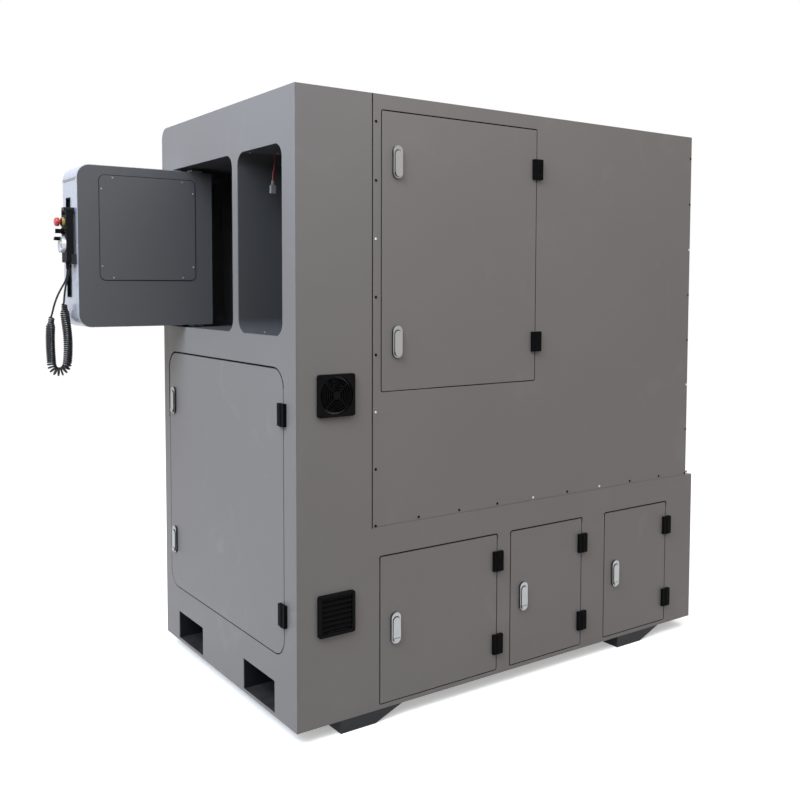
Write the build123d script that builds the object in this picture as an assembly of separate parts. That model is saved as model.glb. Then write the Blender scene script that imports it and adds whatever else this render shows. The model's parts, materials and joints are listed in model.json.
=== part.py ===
from build123d import *
import os
from dataclasses import dataclass
from math import radians, tan

os.makedirs("parts", exist_ok=True)

# Enclosed milling machine on four feet, in millimetres with +Z up.
# +X is the end with the control box, +Y the rear with the service doors, -Y the operator's side.
# The origin lies on the floor, midway between the four anchor holes of the feet.

# General clearances
CUT = 5.0  # overrun of every cut
FIT = 0.05  # radial clearance of a pin in its hole
RUN = 0.3  # clearance between faces that move past each other

# Folded sheet
SHEET = 3.0
BEND = 1.0  # inside bend radius
SEAM = 4.0  # gap round a door and between panels
RETURN = 22.0  # depth of the return flange round an opening
DOOR_DEPTH = 18.0
STIFFENER = 60.0  # width of the hat section inside a door
STIFFENER_DEPTH = 12.0
STIFFENER_SHEET = 2.0

# End wall, from its rear edge to its front edge
REAR_STILE = 87.0
SIDE_BAY_WIDTH = 326.0
MULLION = 42.0
CONTROL_BAY_WIDTH = 635.0
FRONT_STILE = 24.0
BODY_WIDTH = REAR_STILE + SIDE_BAY_WIDTH + MULLION + CONTROL_BAY_WIDTH + FRONT_STILE
BAY_CORNER = 46.0
BAY_DEPTH = 250.0
LINER = 2.0
END_DOOR_REAR = 86.0  # from the door to the rear edge
END_DOOR_FRONT = 58.0  # from the door to the front edge
END_DOOR_CORNER = 64.0
ROOF_RADIUS = 45.0

# End wall, from the body's lower edge upwards
END_DOOR_RISE = 220.0
END_DOOR_HEIGHT = 944.0
BAY_RAIL = 107.0
BAY_HEIGHT = 617.0
HEADER = 172.0
BAY_RISE = END_DOOR_RISE + END_DOOR_HEIGHT + BAY_RAIL
BODY_HEIGHT = BAY_RISE + BAY_HEIGHT + HEADER

# Rear wall, from the end wall towards the far end
BASE_DOOR_START = 320.0
BASE_DOOR_WIDTHS = (513.0, 366.0, 366.0)
BASE_PIERS = (70.0, 134.0, 168.0)  # wall after each base door
BASE_DOOR_RISE = 19.0
BASE_DOOR_HEIGHT = 504.0
BASE_RAIL = 102.0  # wall above the base doors
BASE_LENGTH = BASE_DOOR_START + sum(BASE_DOOR_WIDTHS) + sum(BASE_PIERS)
BASE_HEIGHT = BASE_DOOR_RISE + BASE_DOOR_HEIGHT + BASE_RAIL
LEDGE = 41.0  # the base is longer than the body above it
UPPER_LENGTH = BASE_LENGTH - LEDGE
CABINET_DEPTH = 285.0  # end cabinet, as far as the vertical seam
SERVICE_DOOR_STILE = 39.0
SERVICE_DOOR_WIDTH = 686.0
SERVICE_DOOR_HEIGHT = 923.0
SERVICE_DOOR_DROP = 53.0  # from the door to the top edge

# Feet and fork pockets
FOOT_HEIGHT = 44.0
FOOT_FLAT = 136.0
FOOT_TAPER = 110.0
FOOT_DEPTH = 120.0
NEAR_FOOT = 164.0  # from the end wall to the first foot
FAR_FOOT_INSET = 450.0  # from the far end to the second foot
ANCHOR_RADIUS = 9.0
ANCHOR_DEPTH = 36.0
BASE_PLATE = 6.0
POCKET_WIDTH = 236.0
POCKET_HEIGHT = 110.0
POCKET_REAR = 155.0
POCKET_FRONT = 130.0
TUBE_WALL = 5.0

# Hinges
HINGE_HEIGHT = 74.0
HINGE_LEAF = 22.0
HINGE_THICKNESS = 12.0
HINGE_RADIUS = 7.0
HINGE_AXIS = 8.0  # height of the pin above the wall
HINGE_GAP = 0.5
HINGE_PIN = 3.0
HINGE_INSET = 144.0  # from the ends of a tall door
BASE_HINGE_INSET = 97.0

# Latches
LATCH_HEIGHT = 108.0
LATCH_WIDTH = 38.0
LATCH_RIM = 3.0
LATCH_PROUD = 8.0
LATCH_DEPTH = 13.0
LATCH_WALL = 1.6
LATCH_CAP = 13.0  # solid end of the housing above the lever
LEVER_GAP = 0.8
LEVER_TOP_GAP = 3.0
LEVER_PROUD = 3.0
LEVER_LIP = 2.5
LEVER_LIP_LENGTH = 14.0
LEVER_BOSS = 4.0
LEVER_PIN = 2.0
LEVER_PIN_DROP = 26.5  # from the top of the latch to the lever's pin
LEVER_PIN_OUT = 3.0
LATCH_INSET = 60.0
LATCH_END_INSET = 163.0
END_LATCH_INSET = 46.0
END_LATCH_END_INSET = 190.0

# Vents
VENT_SIZE = 138.0
VENT_CORNER = 8.0
VENT_PROUD = 12.0
VENT_CENTRE = 144.0  # from the end wall
FAN_RISE = 1082.0
FILTER_RISE = 366.0
GRILLE_RADIUS = 61.0
GRILLE_HUB = 14.0
GRILLE_BAR = 2.6
GRILLE_DEPTH = 4.0
GRILLE_RINGS = 6
GRILLE_SPOKES = 4
VENT_HOLE = 57.0
SLAT_COUNT = 7
SLAT_WIDTH = 15.0
SLAT_THICKNESS = 2.4
SLAT_ANGLE = 40.0
SLAT_FRAME = 11.0
FAN_SIZE = 120.0
FAN_DEPTH = 38.0
FAN_DUCT = 56.0
FAN_HUB = 20.0
FAN_MOTOR_DEPTH = 10.0
FAN_STRUT = 7.0
FAN_PIN = 3.0
FAN_BLADES = 7
BLADE_TIP = 52.0
BLADE_CHORD = 24.0
BLADE_THICKNESS = 2.0
BLADE_PITCH = 38.0

# Partition, deck and electrical panel
PARTITION = 4.0
DECK = 12.0
SEAM_FLANGE = 28.0
PANEL_STANDOFF = 14.0
PANEL_POST = 10.0
PANEL_SHEET = 3.0
PANEL_MARGIN = 110.0
PANEL_TOP_GAP = 70.0
DRIVE_WIDTH = 90.0
DRIVE_HEIGHT = 300.0
DRIVE_DEPTH = 140.0
DRIVE_PITCH = 120.0
DRIVE_COUNT = 4
DRIVE_FIN = 6.0
DUCT_SIZE = 45.0
BREAKER_HEIGHT = 85.0
BREAKER_DEPTH = 70.0
BREAKER_WIDTH = 36.0
BREAKER_PITCH = 42.0
BREAKER_COUNT = 10

# Control box
BOX_OUT = 408.0  # in front of the end wall
BOX_IN = 110.0  # behind the end wall's face
BOX_DEPTH = 182.0
BOX_SIDE_GAP = 28.0  # from the box to the front side of its bay
BOX_LOWER_GAP = 10.0
BOX_UPPER_GAP = 18.0
BOX_WALL = 2.5
BOX_CORNER = 45.0
BOX_REAR_CORNER = 6.0
PIVOT_IN = 80.0  # from the end wall's face to the pivot
PIVOT_RADIUS = 10.0
PIVOT_BLOCK = 44.0
PIVOT_BUSH = 17.0
PIVOT_BUSH_LENGTH = 22.0
PIVOT_REACH = 20.0  # length of a pin inside the box
COVER_LENGTH = 370.0
COVER_HEIGHT = 383.0
COVER_START = 78.0  # from the outer end of the box
COVER_DROP = 34.0  # from the top of the box
COVER_CORNER = 50.0
COVER_LAP = 16.0
COVER_SHEET = 2.0
PANEL_EDGE = 26.0  # from the operator panel to the edges of the box
PANEL_CORNER = 20.0
PANEL_LAP = 12.0
OPERATOR_SHEET = 4.0
SCREEN_WIDTH_SHARE = 0.66  # of the panel's length
SCREEN_HEIGHT_SHARE = 0.43  # of the panel's height
SCREEN_CORNER = 6.0
SCREEN_RECESS = 2.0
SCREEN_DROP_SHARE = 0.07  # from the panel's top, of its height
KEYPAD_WIDTH_SHARE = 0.7
KEYPAD_HEIGHT_SHARE = 0.34
KEYPAD_RISE_SHARE = 0.07
KEY_SHARE = 0.78  # of the pitch
KEY_RISE = 1.5
KEY_COLUMNS = 11
KEY_ROWS = 6
SIDE_SHEET = 2.0
SIDE_MARGIN = 3.0
SIDE_FRAME = 20.0  # of the box, left behind the side plate
PULL_WIDTH = 46.0
PULL_RISE = 108.0  # from the bottom of the box to the pull
PULL_DROP = 114.0  # from the top of the box to the pull
PULL_OFFSET = 19.0  # from the middle of the side, towards the front
PULL_RIM = 3.0
PULL_WALL = 2.0
PULL_DEPTH = 24.0

# Pendant with its hook and cradle
PENDANT_WIDTH = 62.0
PENDANT_THICKNESS = 26.0
PENDANT_HEIGHT = 196.0
PENDANT_CORNER = 8.0
PENDANT_RISE = 235.0  # from the bottom of the box
PENDANT_REAR_GAP = 20.0  # from the rear side of the box
PENDANT_STANDOFF = 8.0
RELIEF_RADIUS = 6.0
RELIEF_TIP = 4.5
RELIEF_LENGTH = 25.0
RELIEF_INSET = 16.0  # from the pendant's back to the relief
STOP_RISE = 146.0
STOP_RADIUS = 16.0
STOP_HEAD = 14.0
STOP_NECK = 8.0
STOP_REACH = 33.0
STOP_TRAVEL = 5.0
LAMP_RISE = 178.0
LAMP_RADIUS = 6.0
LAMP_HEIGHT = 7.0
COLLAR_RADIUS = 14.0
COLLAR_HEIGHT = 11.0
KNOB_RISE = 113.0
KNOB_RADIUS = 11.0
KNOB_HEIGHT = 30.0
KNOB_WING = 6.0
KNOB_SKIRT = 8.0
WHEEL_RISE = 65.0
WHEEL_RADIUS = 30.0
WHEEL_HUB = 12.0
WHEEL_RIM = 7.0
WHEEL_DEPTH = 14.0
WHEEL_SHAFT = 4.0
WHEEL_GAP = 1.0
CRANK_RADIUS = 5.0
CRANK_LENGTH = 24.0
CRANK_ARM = 21.0
HOOK_WIDTH = 30.0
HOOK_SHEET = 3.5
HOOK_LIP = 8.0
HOOK_BACK = 20.0
SHELF_DEPTH = 18.0
SHELF_SHEET = 6.0
CHEEK_HEIGHT = 30.0
CHEEK_SHEET = 4.0
OUTLET_RADIUS = 6.0
OUTLET_LENGTH = 14.0
OUTLET_INSET = 10.0
OUTLET_SIDE = 19.0  # from the pendant's middle, towards the front

# Front wall with its sliding work door
WORK_START = 437.0  # from the far end
WORK_RISE = 745.0
WORK_WIDTH = 700.0
WORK_HEIGHT = 1000.0
WORK_CORNER = 20.0
FRONT_DOOR_LAP = 20.0
FRONT_DOOR_DEPTH = 24.0
FRONT_DOOR_CORNER = 12.0
FRONT_DOOR_GAP = 4.0  # from the wall to the door
FRONT_DOOR_TRAVEL = 690.0
TRACK_ARM = 3.0
TRACK_LIP = 16.0
TONGUE = 6.0
TONGUE_HEIGHT = 10.0
WINDOW_WIDTH = 420.0
WINDOW_HEIGHT = 520.0
WINDOW_CORNER = 30.0
WINDOW_RISE = 330.0
WINDOW_LAP = 14.0
WINDOW_THICKNESS = 5.0
GRIP_LENGTH = 320.0
GRIP_RADIUS = 9.0
GRIP_STANDOFF = 34.0
GRIP_INSET = 60.0
GRIP_RISE = 420.0

# Milling unit
BED_LENGTH = 820.0
BED_WIDTH = 860.0
BED_HEIGHT = 170.0
BED_TAPER = 70.0
WAY_WIDTH = 60.0
WAY_HEIGHT = 24.0
WAY_SPREAD = 420.0
BED_OFFSET = -10.0  # middle of the bed, towards the rear
COLUMN_WIDTH = 460.0
COLUMN_DEPTH = 300.0
COLUMN_HEIGHT = 1000.0
COLUMN_TOP_SHARE = 0.76
COLUMN_WAY_SPREAD = 220.0
COLUMN_WAY_WIDTH = 50.0
COLUMN_WAY_DEPTH = 24.0
SADDLE_WIDTH = 310.0
SADDLE_LENGTH = 560.0
SADDLE_HEIGHT = 70.0
TABLE_LENGTH = 800.0
TABLE_WIDTH = 300.0
TABLE_HEIGHT = 62.0
TABLE_WAY_SPREAD = 220.0
T_SLOT_COUNT = 3
T_SLOT_PITCH = 80.0
T_SLOT_WIDTH = 14.0
T_SLOT_FOOT = 24.0
T_SLOT_DEPTH = 26.0
T_SLOT_FOOT_HEIGHT = 11.0
HEAD_WIDTH = 300.0
HEAD_DEPTH = 380.0
HEAD_HEIGHT = 380.0
HEAD_EDGE = 30.0
HEAD_RISE = 330.0  # above the table
MOTOR_SIZE = 170.0
MOTOR_HEIGHT = 190.0
MOTOR_CORNER = 18.0
SPINDLE_RADIUS = 52.0
SPINDLE_NOSE = 38.0
SPINDLE_LENGTH = 90.0
SPINDLE_BORE = 16.0
SPINDLE_INSET = 110.0  # from the head's front to the spindle
SPINDLE_SEAT = 60.0

# Coolant tank behind the base doors
TANK_LENGTH = 860.0
TANK_DEPTH = 330.0
TANK_HEIGHT = 240.0
TANK_CORNER = 30.0
TANK_WALL = 4.0
TANK_REAR_GAP = 70.0
TANK_START = 900.0
PUMP_RADIUS = 55.0
PUMP_HEIGHT = 120.0
PUMP_PLATE = 90.0

# Red lead in the side bay
ARC_SHARE = 0.45  # of the shorter run beside a corner of a cord
LEAD_RADIUS = 1.6
PLUG_LENGTH = 44.0
PLUG_WIDTH = 18.0
PLUG_DEPTH = 13.0
PLUG_STEP = 16.0
PLUG_LATCH = 3.0

# Curly cord of the pendant
CABLE_RADIUS = 3.5
COIL_RADIUS = 17.0
RELIEF_LEAD = [
    (1327.5, -374.0, 1534.0),
    (1328.0, -375.0, 1512.0),
    (1335.0, -380.0, 1489.0),
    (1348.0, -388.0, 1464.0),
    (1359.0, -398.0, 1437.0),
    (1367.0, -408.0, 1408.0),
    (1372.0, -418.0, 1378.0),
    (1374.0, -422.5, 1359.0),
]
COIL = [
    (1374.0, -422.5, 1359.0),
    (1376.0, -427.0, 1340.0),
    (1377.5, -433.0, 1297.0),
    (1376.0, -439.0, 1250.0),
    (1373.0, -443.0, 1207.0),
    (1370.5, -445.0, 1171.0),
    (1354.5, -446.0, 1155.0),
    (1332.5, -446.0, 1155.0),
    (1316.5, -445.0, 1171.0),
    (1312.0, -443.0, 1207.0),
    (1310.5, -441.0, 1254.0),
    (1313.5, -438.0, 1300.0),
    (1320.0, -435.0, 1344.0),
    (1325.0, -432.0, 1386.0),
    (1325.5, -430.0, 1409.0),
]
OUTLET_LEAD = [
    (1325.5, -430.0, 1409.0),
    (1326.0, -428.0, 1432.0),
    (1325.0, -421.0, 1457.0),
    (1322.5, -413.0, 1481.0),
    (1318.5, -404.0, 1504.0),
    (1314.5, -396.0, 1523.0),
    (1313.5, -393.0, 1539.0),
]
BAY_LEAD = [
    (774.5, 195.0, 1932.0),
    (774.5, 195.0, 1911.0),
    (777.0, 195.6, 1890.0),
    (784.0, 196.4, 1866.0),
    (784.0, 196.4, 1841.0),
]

# Places in the part's frame
FAR_FOOT = BASE_LENGTH - FAR_FOOT_INSET
END_X = (NEAR_FOOT + FAR_FOOT + FOOT_FLAT) / 2
FAR_X = END_X - BASE_LENGTH
UPPER_FAR_X = END_X - UPPER_LENGTH
SEAM_X = END_X - CABINET_DEPTH
REAR_Y = BODY_WIDTH / 2
FRONT_Y = -REAR_Y
BODY_Z = FOOT_HEIGHT
BASE_Z = BODY_Z + BASE_HEIGHT
BAY_Z = BODY_Z + BAY_RISE
BAY_TOP = BAY_Z + BAY_HEIGHT
TOP_Z = BODY_Z + BODY_HEIGHT
ANCHOR_SPAN_X = FAR_FOOT - NEAR_FOOT
ANCHOR_SPAN_Y = BODY_WIDTH - FOOT_DEPTH
LATCH_CUP_HEIGHT = LATCH_HEIGHT - 2 * LATCH_RIM
LATCH_CUP_WIDTH = LATCH_WIDTH - 2 * LATCH_RIM
LATCH_POCKET_WIDTH = LATCH_CUP_WIDTH - 2 * LATCH_WALL
LATCH_POCKET_TOP = LATCH_HEIGHT / 2 - LATCH_CAP
LATCH_POCKET_LOW = LATCH_WALL + LATCH_RIM - LATCH_HEIGHT / 2
LEVER_WIDTH = LATCH_POCKET_WIDTH - 2 * LEVER_GAP
LEVER_TOP = LATCH_POCKET_TOP - LEVER_TOP_GAP
LEVER_LOW = LATCH_POCKET_LOW + LEVER_GAP
LEVER_FACE = LATCH_PROUD + LEVER_PROUD
LEVER_PIN_RISE = LATCH_HEIGHT / 2 - LEVER_PIN_DROP
BOX_X0 = END_X - BOX_IN
BOX_X1 = END_X + BOX_OUT
BOX_Y0 = FRONT_Y + FRONT_STILE + BOX_SIDE_GAP
BOX_Y1 = BOX_Y0 + BOX_DEPTH
BOX_Z0 = BAY_Z + BOX_LOWER_GAP
BOX_Z1 = BAY_TOP - BOX_UPPER_GAP
BOX_LENGTH = BOX_X1 - BOX_X0
BOX_HEIGHT = BOX_Z1 - BOX_Z0
PULL_HEIGHT = BOX_HEIGHT - PULL_RISE - PULL_DROP
PANEL_LENGTH = BOX_LENGTH - 2 * PANEL_EDGE
PANEL_HEIGHT = BOX_HEIGHT - 2 * PANEL_EDGE
SCREEN_WIDTH = PANEL_LENGTH * SCREEN_WIDTH_SHARE
SCREEN_HEIGHT = PANEL_HEIGHT * SCREEN_HEIGHT_SHARE
KEY_PITCH_X = PANEL_LENGTH * KEYPAD_WIDTH_SHARE / KEY_COLUMNS
KEY_PITCH_Z = PANEL_HEIGHT * KEYPAD_HEIGHT_SHARE / KEY_ROWS
PIVOT_X = END_X - PIVOT_IN
PIVOT_Y = (BOX_Y0 + BOX_Y1) / 2
SIDE_X = BOX_X1 + SIDE_SHEET
PENDANT_X0 = SIDE_X + PENDANT_STANDOFF
PENDANT_X1 = PENDANT_X0 + PENDANT_THICKNESS
PENDANT_Y1 = BOX_Y1 - PENDANT_REAR_GAP
PENDANT_Y = PENDANT_Y1 - PENDANT_WIDTH / 2
PENDANT_Z0 = BOX_Z0 + PENDANT_RISE
PENDANT_Z1 = PENDANT_Z0 + PENDANT_HEIGHT
FRONT_DOOR_WIDTH = WORK_WIDTH + 2 * FRONT_DOOR_LAP
FRONT_DOOR_HEIGHT = WORK_HEIGHT + 2 * FRONT_DOOR_LAP
FRONT_DOOR_X = WORK_START - FRONT_DOOR_LAP
FRONT_DOOR_Z = WORK_RISE - FRONT_DOOR_LAP
MILL_X = (SEAM_X + UPPER_FAR_X) / 2
BED_TOP = BASE_Z + BED_HEIGHT
SADDLE_Z = BED_TOP + WAY_HEIGHT
TABLE_Z = SADDLE_Z + SADDLE_HEIGHT + WAY_HEIGHT
TABLE_TOP = TABLE_Z + TABLE_HEIGHT
COLUMN_Y = BED_OFFSET + BED_WIDTH / 2 - COLUMN_DEPTH / 2
HEAD_BACK = COLUMN_Y - COLUMN_DEPTH / 2 - COLUMN_WAY_DEPTH
HEAD_Z = TABLE_TOP + HEAD_RISE
SPINDLE_Y = HEAD_BACK - HEAD_DEPTH + SPINDLE_INSET
SADDLE_Y = SPINDLE_Y


@dataclass(frozen=True)
class Door:
    """A hinged door: its node names, the wall that carries it and its place there."""

    leaf: str
    hinges: str
    latches: str
    levers: tuple
    wall: str
    x: float
    z: float
    width: float
    height: float
    corner: float
    hinge_inset: float
    latch_x: float
    latch_zs: tuple

    @property
    def axis_x(self):
        """Place of the hinge pin across the wall."""
        return self.x + self.width + SEAM / 2

    @property
    def hinge_zs(self):
        """Heights of the two hinges."""
        return (self.z + self.hinge_inset, self.z + self.height - self.hinge_inset)


def base_door(number):
    """The base door with this number, counted from the end wall."""
    index = number - 1
    x = BASE_DOOR_START + sum(BASE_DOOR_WIDTHS[:index]) + sum(BASE_PIERS[:index])
    middle = BASE_DOOR_RISE + BASE_DOOR_HEIGHT / 2
    return Door(
        f"base_door_{number}", f"base_hinges_{number}", f"base_latch_{number}", (f"base_lever_{number}",),
        "rear", x, BASE_DOOR_RISE, BASE_DOOR_WIDTHS[index], BASE_DOOR_HEIGHT, SHEET + BEND,
        BASE_HINGE_INSET, x + LATCH_INSET, (middle,),
    )


SERVICE_DOOR_X = CABINET_DEPTH + SERVICE_DOOR_STILE
SERVICE_DOOR_Z = BODY_HEIGHT - SERVICE_DOOR_DROP - SERVICE_DOOR_HEIGHT
SERVICE_DOOR = Door(
    "service_door", "service_hinges", "service_latches", ("service_lever_lower", "service_lever_upper"),
    "rear", SERVICE_DOOR_X, SERVICE_DOOR_Z, SERVICE_DOOR_WIDTH, SERVICE_DOOR_HEIGHT, SHEET + BEND,
    HINGE_INSET, SERVICE_DOOR_X + LATCH_INSET,
    (SERVICE_DOOR_Z + LATCH_END_INSET, SERVICE_DOOR_Z + SERVICE_DOOR_HEIGHT - LATCH_END_INSET),
)
END_DOOR = Door(
    "end_door", "end_hinges", "end_latches", ("end_lever_lower", "end_lever_upper"),
    "end", END_DOOR_FRONT, END_DOOR_RISE, BODY_WIDTH - END_DOOR_FRONT - END_DOOR_REAR, END_DOOR_HEIGHT,
    END_DOOR_CORNER, HINGE_INSET, END_DOOR_FRONT + END_LATCH_INSET,
    (END_DOOR_RISE + END_LATCH_END_INSET, END_DOOR_RISE + END_DOOR_HEIGHT - END_LATCH_END_INSET),
)
BASE_DOORS = [base_door(number + 1) for number in range(len(BASE_DOOR_WIDTHS))]
DOORS = [SERVICE_DOOR, END_DOOR, *BASE_DOORS]

# Wall frames: x runs to the right and y upwards as seen from outside, z points out of the wall
WALLS = {
    "rear": Plane((END_X, REAR_Y, BODY_Z), x_dir=(-1, 0, 0), z_dir=(0, 1, 0)).location,
    "end": Plane((END_X, FRONT_Y, BODY_Z), x_dir=(0, 1, 0), z_dir=(1, 0, 0)).location,
    "front": Plane((FAR_X, FRONT_Y, BODY_Z), x_dir=(1, 0, 0), z_dir=(0, -1, 0)).location,
}


def rect(x, y, width, height):
    """Rectangle with its lower left corner at x, y."""
    return Pos(x + width / 2, y + height / 2) * Rectangle(width, height)


def rounded(x, y, width, height, radius):
    """Rounded rectangle with its lower left corner at x, y."""
    return Pos(x + width / 2, y + height / 2) * RectangleRounded(width, height, radius)


def slab(sketch, low, high):
    """Sketch in the local xy plane, extruded from z low to z high."""
    return extrude(Pos(0, 0, low) * sketch, high - low)


def block(x0, x1, y0, y1, z0, z1):
    """Box between two corners in the part's frame."""
    return Pos((x0 + x1) / 2, (y0 + y1) / 2, (z0 + z1) / 2) * Box(x1 - x0, y1 - y0, z1 - z0)


def rod(radius, length, axis):
    """Cylinder from the local origin along one axis."""
    turn = {"x": Rot(0, 90, 0), "y": Rot(-90, 0, 0), "z": Rot(0, 0, 0)}[axis]
    return turn * Pos(0, 0, length / 2) * Cylinder(radius, length)


def upright_slot(low, high, width):
    """Upright rounded-end slot between two heights."""
    return Pos(0, (low + high) / 2) * SlotOverall(high - low, width, rotation=90)


def front_top(sketch):
    """The vertex at the top left of a sketch on the end wall."""
    return sketch.vertices().group_by(Axis.Y)[-1].sort_by(Axis.X)[0]


def cut_opening(wall, x, y, width, height, corner):
    """Cut an opening with a return flange turned inwards."""
    inner = rounded(x, y, width, height, corner)
    outer = rounded(x - SHEET, y - SHEET, width + 2 * SHEET, height + 2 * SHEET, corner + SHEET)
    return wall + slab(outer, -RETURN, 0) - slab(inner, -RETURN - CUT, CUT)


def cut_door_opening(wall, door):
    """Cut the opening of a hinged door, wider than the door by the seam."""
    return cut_opening(
        wall, door.x - SEAM, door.z - SEAM, door.width + 2 * SEAM, door.height + 2 * SEAM, door.corner + SEAM
    )


def side_bay():
    """Place of the open bay on the end wall."""
    return BODY_WIDTH - REAR_STILE - SIDE_BAY_WIDTH, SIDE_BAY_WIDTH


def control_bay():
    """Place of the control box's bay on the end wall."""
    return FRONT_STILE, CONTROL_BAY_WIDTH


def pocket_starts():
    """Places of the two fork pockets across the end wall."""
    return POCKET_FRONT, BODY_WIDTH - POCKET_REAR - POCKET_WIDTH


def end_wall():
    """End sheet with two rounded bays, the door opening and the fork pockets."""
    outline = rect(0, 0, BODY_WIDTH, BODY_HEIGHT)
    wall = slab(fillet(front_top(outline), ROOF_RADIUS), -SHEET, 0)
    for x, width in (side_bay(), control_bay()):
        wall -= slab(rounded(x, BAY_RISE, width, BAY_HEIGHT, BAY_CORNER), -SHEET - CUT, CUT)
    for x in pocket_starts():
        wall -= slab(rect(x, BASE_PLATE + TUBE_WALL, POCKET_WIDTH, POCKET_HEIGHT), -SHEET - CUT, CUT)
    return WALLS["end"] * cut_door_opening(wall, END_DOOR)


def rear_wall():
    """Base band and end strip in one sheet, with base door openings and vent holes."""
    band = rect(SHEET, 0, BASE_LENGTH - SHEET, BASE_HEIGHT)
    strip = rect(SHEET, 0, CABINET_DEPTH - SHEET, BODY_HEIGHT)
    wall = slab(band + strip, -SHEET, 0)
    for door in BASE_DOORS:
        wall = cut_door_opening(wall, door)
    for rise in (FAN_RISE, FILTER_RISE):
        wall -= Pos(VENT_CENTRE, rise) * slab(Circle(VENT_HOLE), -SHEET - CUT, CUT)
    return WALLS["rear"] * wall


def rear_panel():
    """Screwed upper sheet with the service door opening."""
    start = CABINET_DEPTH + SEAM
    sheet = rect(start, BASE_HEIGHT + SEAM, UPPER_LENGTH - start, BODY_HEIGHT - BASE_HEIGHT - SEAM)
    return WALLS["rear"] * cut_door_opening(slab(sheet, -SHEET, 0), SERVICE_DOOR)


def track(rise, direction):
    """Folded track of the work door: an arm off the wall and a lip over the door's tongue."""
    start = FRONT_DOOR_X
    length = FRONT_DOOR_WIDTH + FRONT_DOOR_TRAVEL
    out = FRONT_DOOR_GAP + TONGUE + RUN
    low, high = sorted((rise, rise + direction * TRACK_ARM))
    arm = slab(rect(start, low, length, high - low), 0, out + TRACK_ARM)
    low, high = sorted((rise + direction * TRACK_ARM, rise - direction * (TRACK_LIP - TRACK_ARM - TONGUE)))
    return arm + slab(rect(start, low, length, high - low), out, out + TRACK_ARM)


def front_wall():
    """Operator's side: one sheet with the work opening and the tracks of its door."""
    base = rect(0, 0, BASE_LENGTH - SHEET, BASE_HEIGHT)
    upper = rect(LEDGE, 0, UPPER_LENGTH - SHEET, BODY_HEIGHT - ROOF_RADIUS)
    wall = slab(base + upper, -SHEET, 0)
    wall = cut_opening(wall, WORK_START, WORK_RISE, WORK_WIDTH, WORK_HEIGHT, WORK_CORNER)
    wall += track(FRONT_DOOR_Z - TONGUE_HEIGHT, -1)
    wall += track(FRONT_DOOR_Z + FRONT_DOOR_HEIGHT + TONGUE_HEIGHT + RUN, 1)
    return WALLS["front"] * wall


def cross_plate(width_inset, low, high, near, far):
    """Upright sheet across the body that fits under the rounded roof edge."""
    sketch = rect(width_inset, low, BODY_WIDTH - 2 * width_inset, high - low)
    return WALLS["end"] * slab(fillet(front_top(sketch), ROOF_RADIUS - SHEET), -far, -near)


def far_wall():
    """Far end: base sheet, ledge and upper sheet folded as one piece."""
    y0, y1 = FRONT_Y + SHEET, REAR_Y - SHEET
    wall = block(FAR_X, FAR_X + SHEET, y0, y1, BODY_Z, BASE_Z)
    for x in pocket_starts():
        y = FRONT_Y + x
        z = BODY_Z + BASE_PLATE + TUBE_WALL
        wall -= block(FAR_X - CUT, FAR_X + SHEET + CUT, y, y + POCKET_WIDTH, z, z + POCKET_HEIGHT)
    wall += block(FAR_X, UPPER_FAR_X + SHEET, y0, y1, BASE_Z - SHEET, BASE_Z)
    upper = cross_plate(SHEET, BASE_HEIGHT - SHEET, BODY_HEIGHT - SHEET, UPPER_LENGTH - SHEET, UPPER_LENGTH)
    return wall + upper


def roof_panel():
    """Roof sheet, bent down with a large radius on the operator's side."""
    lower = BODY_HEIGHT - ROOF_RADIUS
    outer = rect(0, lower, BODY_WIDTH - SHEET, ROOF_RADIUS)
    inner = rect(SHEET, lower - CUT, BODY_WIDTH, ROOF_RADIUS - SHEET + CUT)
    outer = fillet(front_top(outer), ROOF_RADIUS - BEND)
    inner = fillet(front_top(inner), ROOF_RADIUS - SHEET - BEND)
    return WALLS["end"] * slab(outer - inner, -UPPER_LENGTH, -SHEET)


def partition():
    """Bulkhead behind the end cabinet, the deck under the milling unit and the flanges behind the seams."""
    y0, y1 = FRONT_Y + SHEET, REAR_Y - SHEET
    x0 = UPPER_FAR_X + SHEET
    deck = block(x0, SEAM_X + PARTITION, y0, y1, BASE_Z - DECK, BASE_Z)
    bulkhead = cross_plate(
        SHEET, BASE_HEIGHT - DECK, BODY_HEIGHT - SHEET, CABINET_DEPTH - PARTITION, CABINET_DEPTH
    )
    top = TOP_Z - ROOF_RADIUS
    upright = block(SEAM_X - SEAM_FLANGE, SEAM_X, y1 - PARTITION, y1, BASE_Z, top)
    rail = block(x0, SEAM_X, y1 - PARTITION, y1, BASE_Z, BASE_Z + SEAM_FLANGE)
    return deck + bulkhead + upright + rail


def base_plate():
    """Bottom plate with four welded feet, each bored for an anchor."""
    plate = block(FAR_X + SHEET, END_X - SHEET, FRONT_Y + SHEET, REAR_Y - SHEET, BODY_Z, BODY_Z + BASE_PLATE)
    with BuildLine() as edge:
        Polyline(
            (0, 0), (0, FOOT_HEIGHT), (-FOOT_FLAT - FOOT_TAPER, FOOT_HEIGHT), (-FOOT_FLAT, 0), close=True
        )
    profile = make_face(edge.line)
    foot = Rot(90, 0, 0) * slab(profile, -FOOT_DEPTH / 2, FOOT_DEPTH / 2)
    foot -= Pos(-FOOT_FLAT / 2, 0, -CUT) * rod(ANCHOR_RADIUS, ANCHOR_DEPTH + CUT, "z")
    for start in (NEAR_FOOT, NEAR_FOOT + ANCHOR_SPAN_X):
        for side in (-1, 1):
            plate += Pos(END_X - start, side * ANCHOR_SPAN_Y / 2, 0) * foot
    return plate


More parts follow.
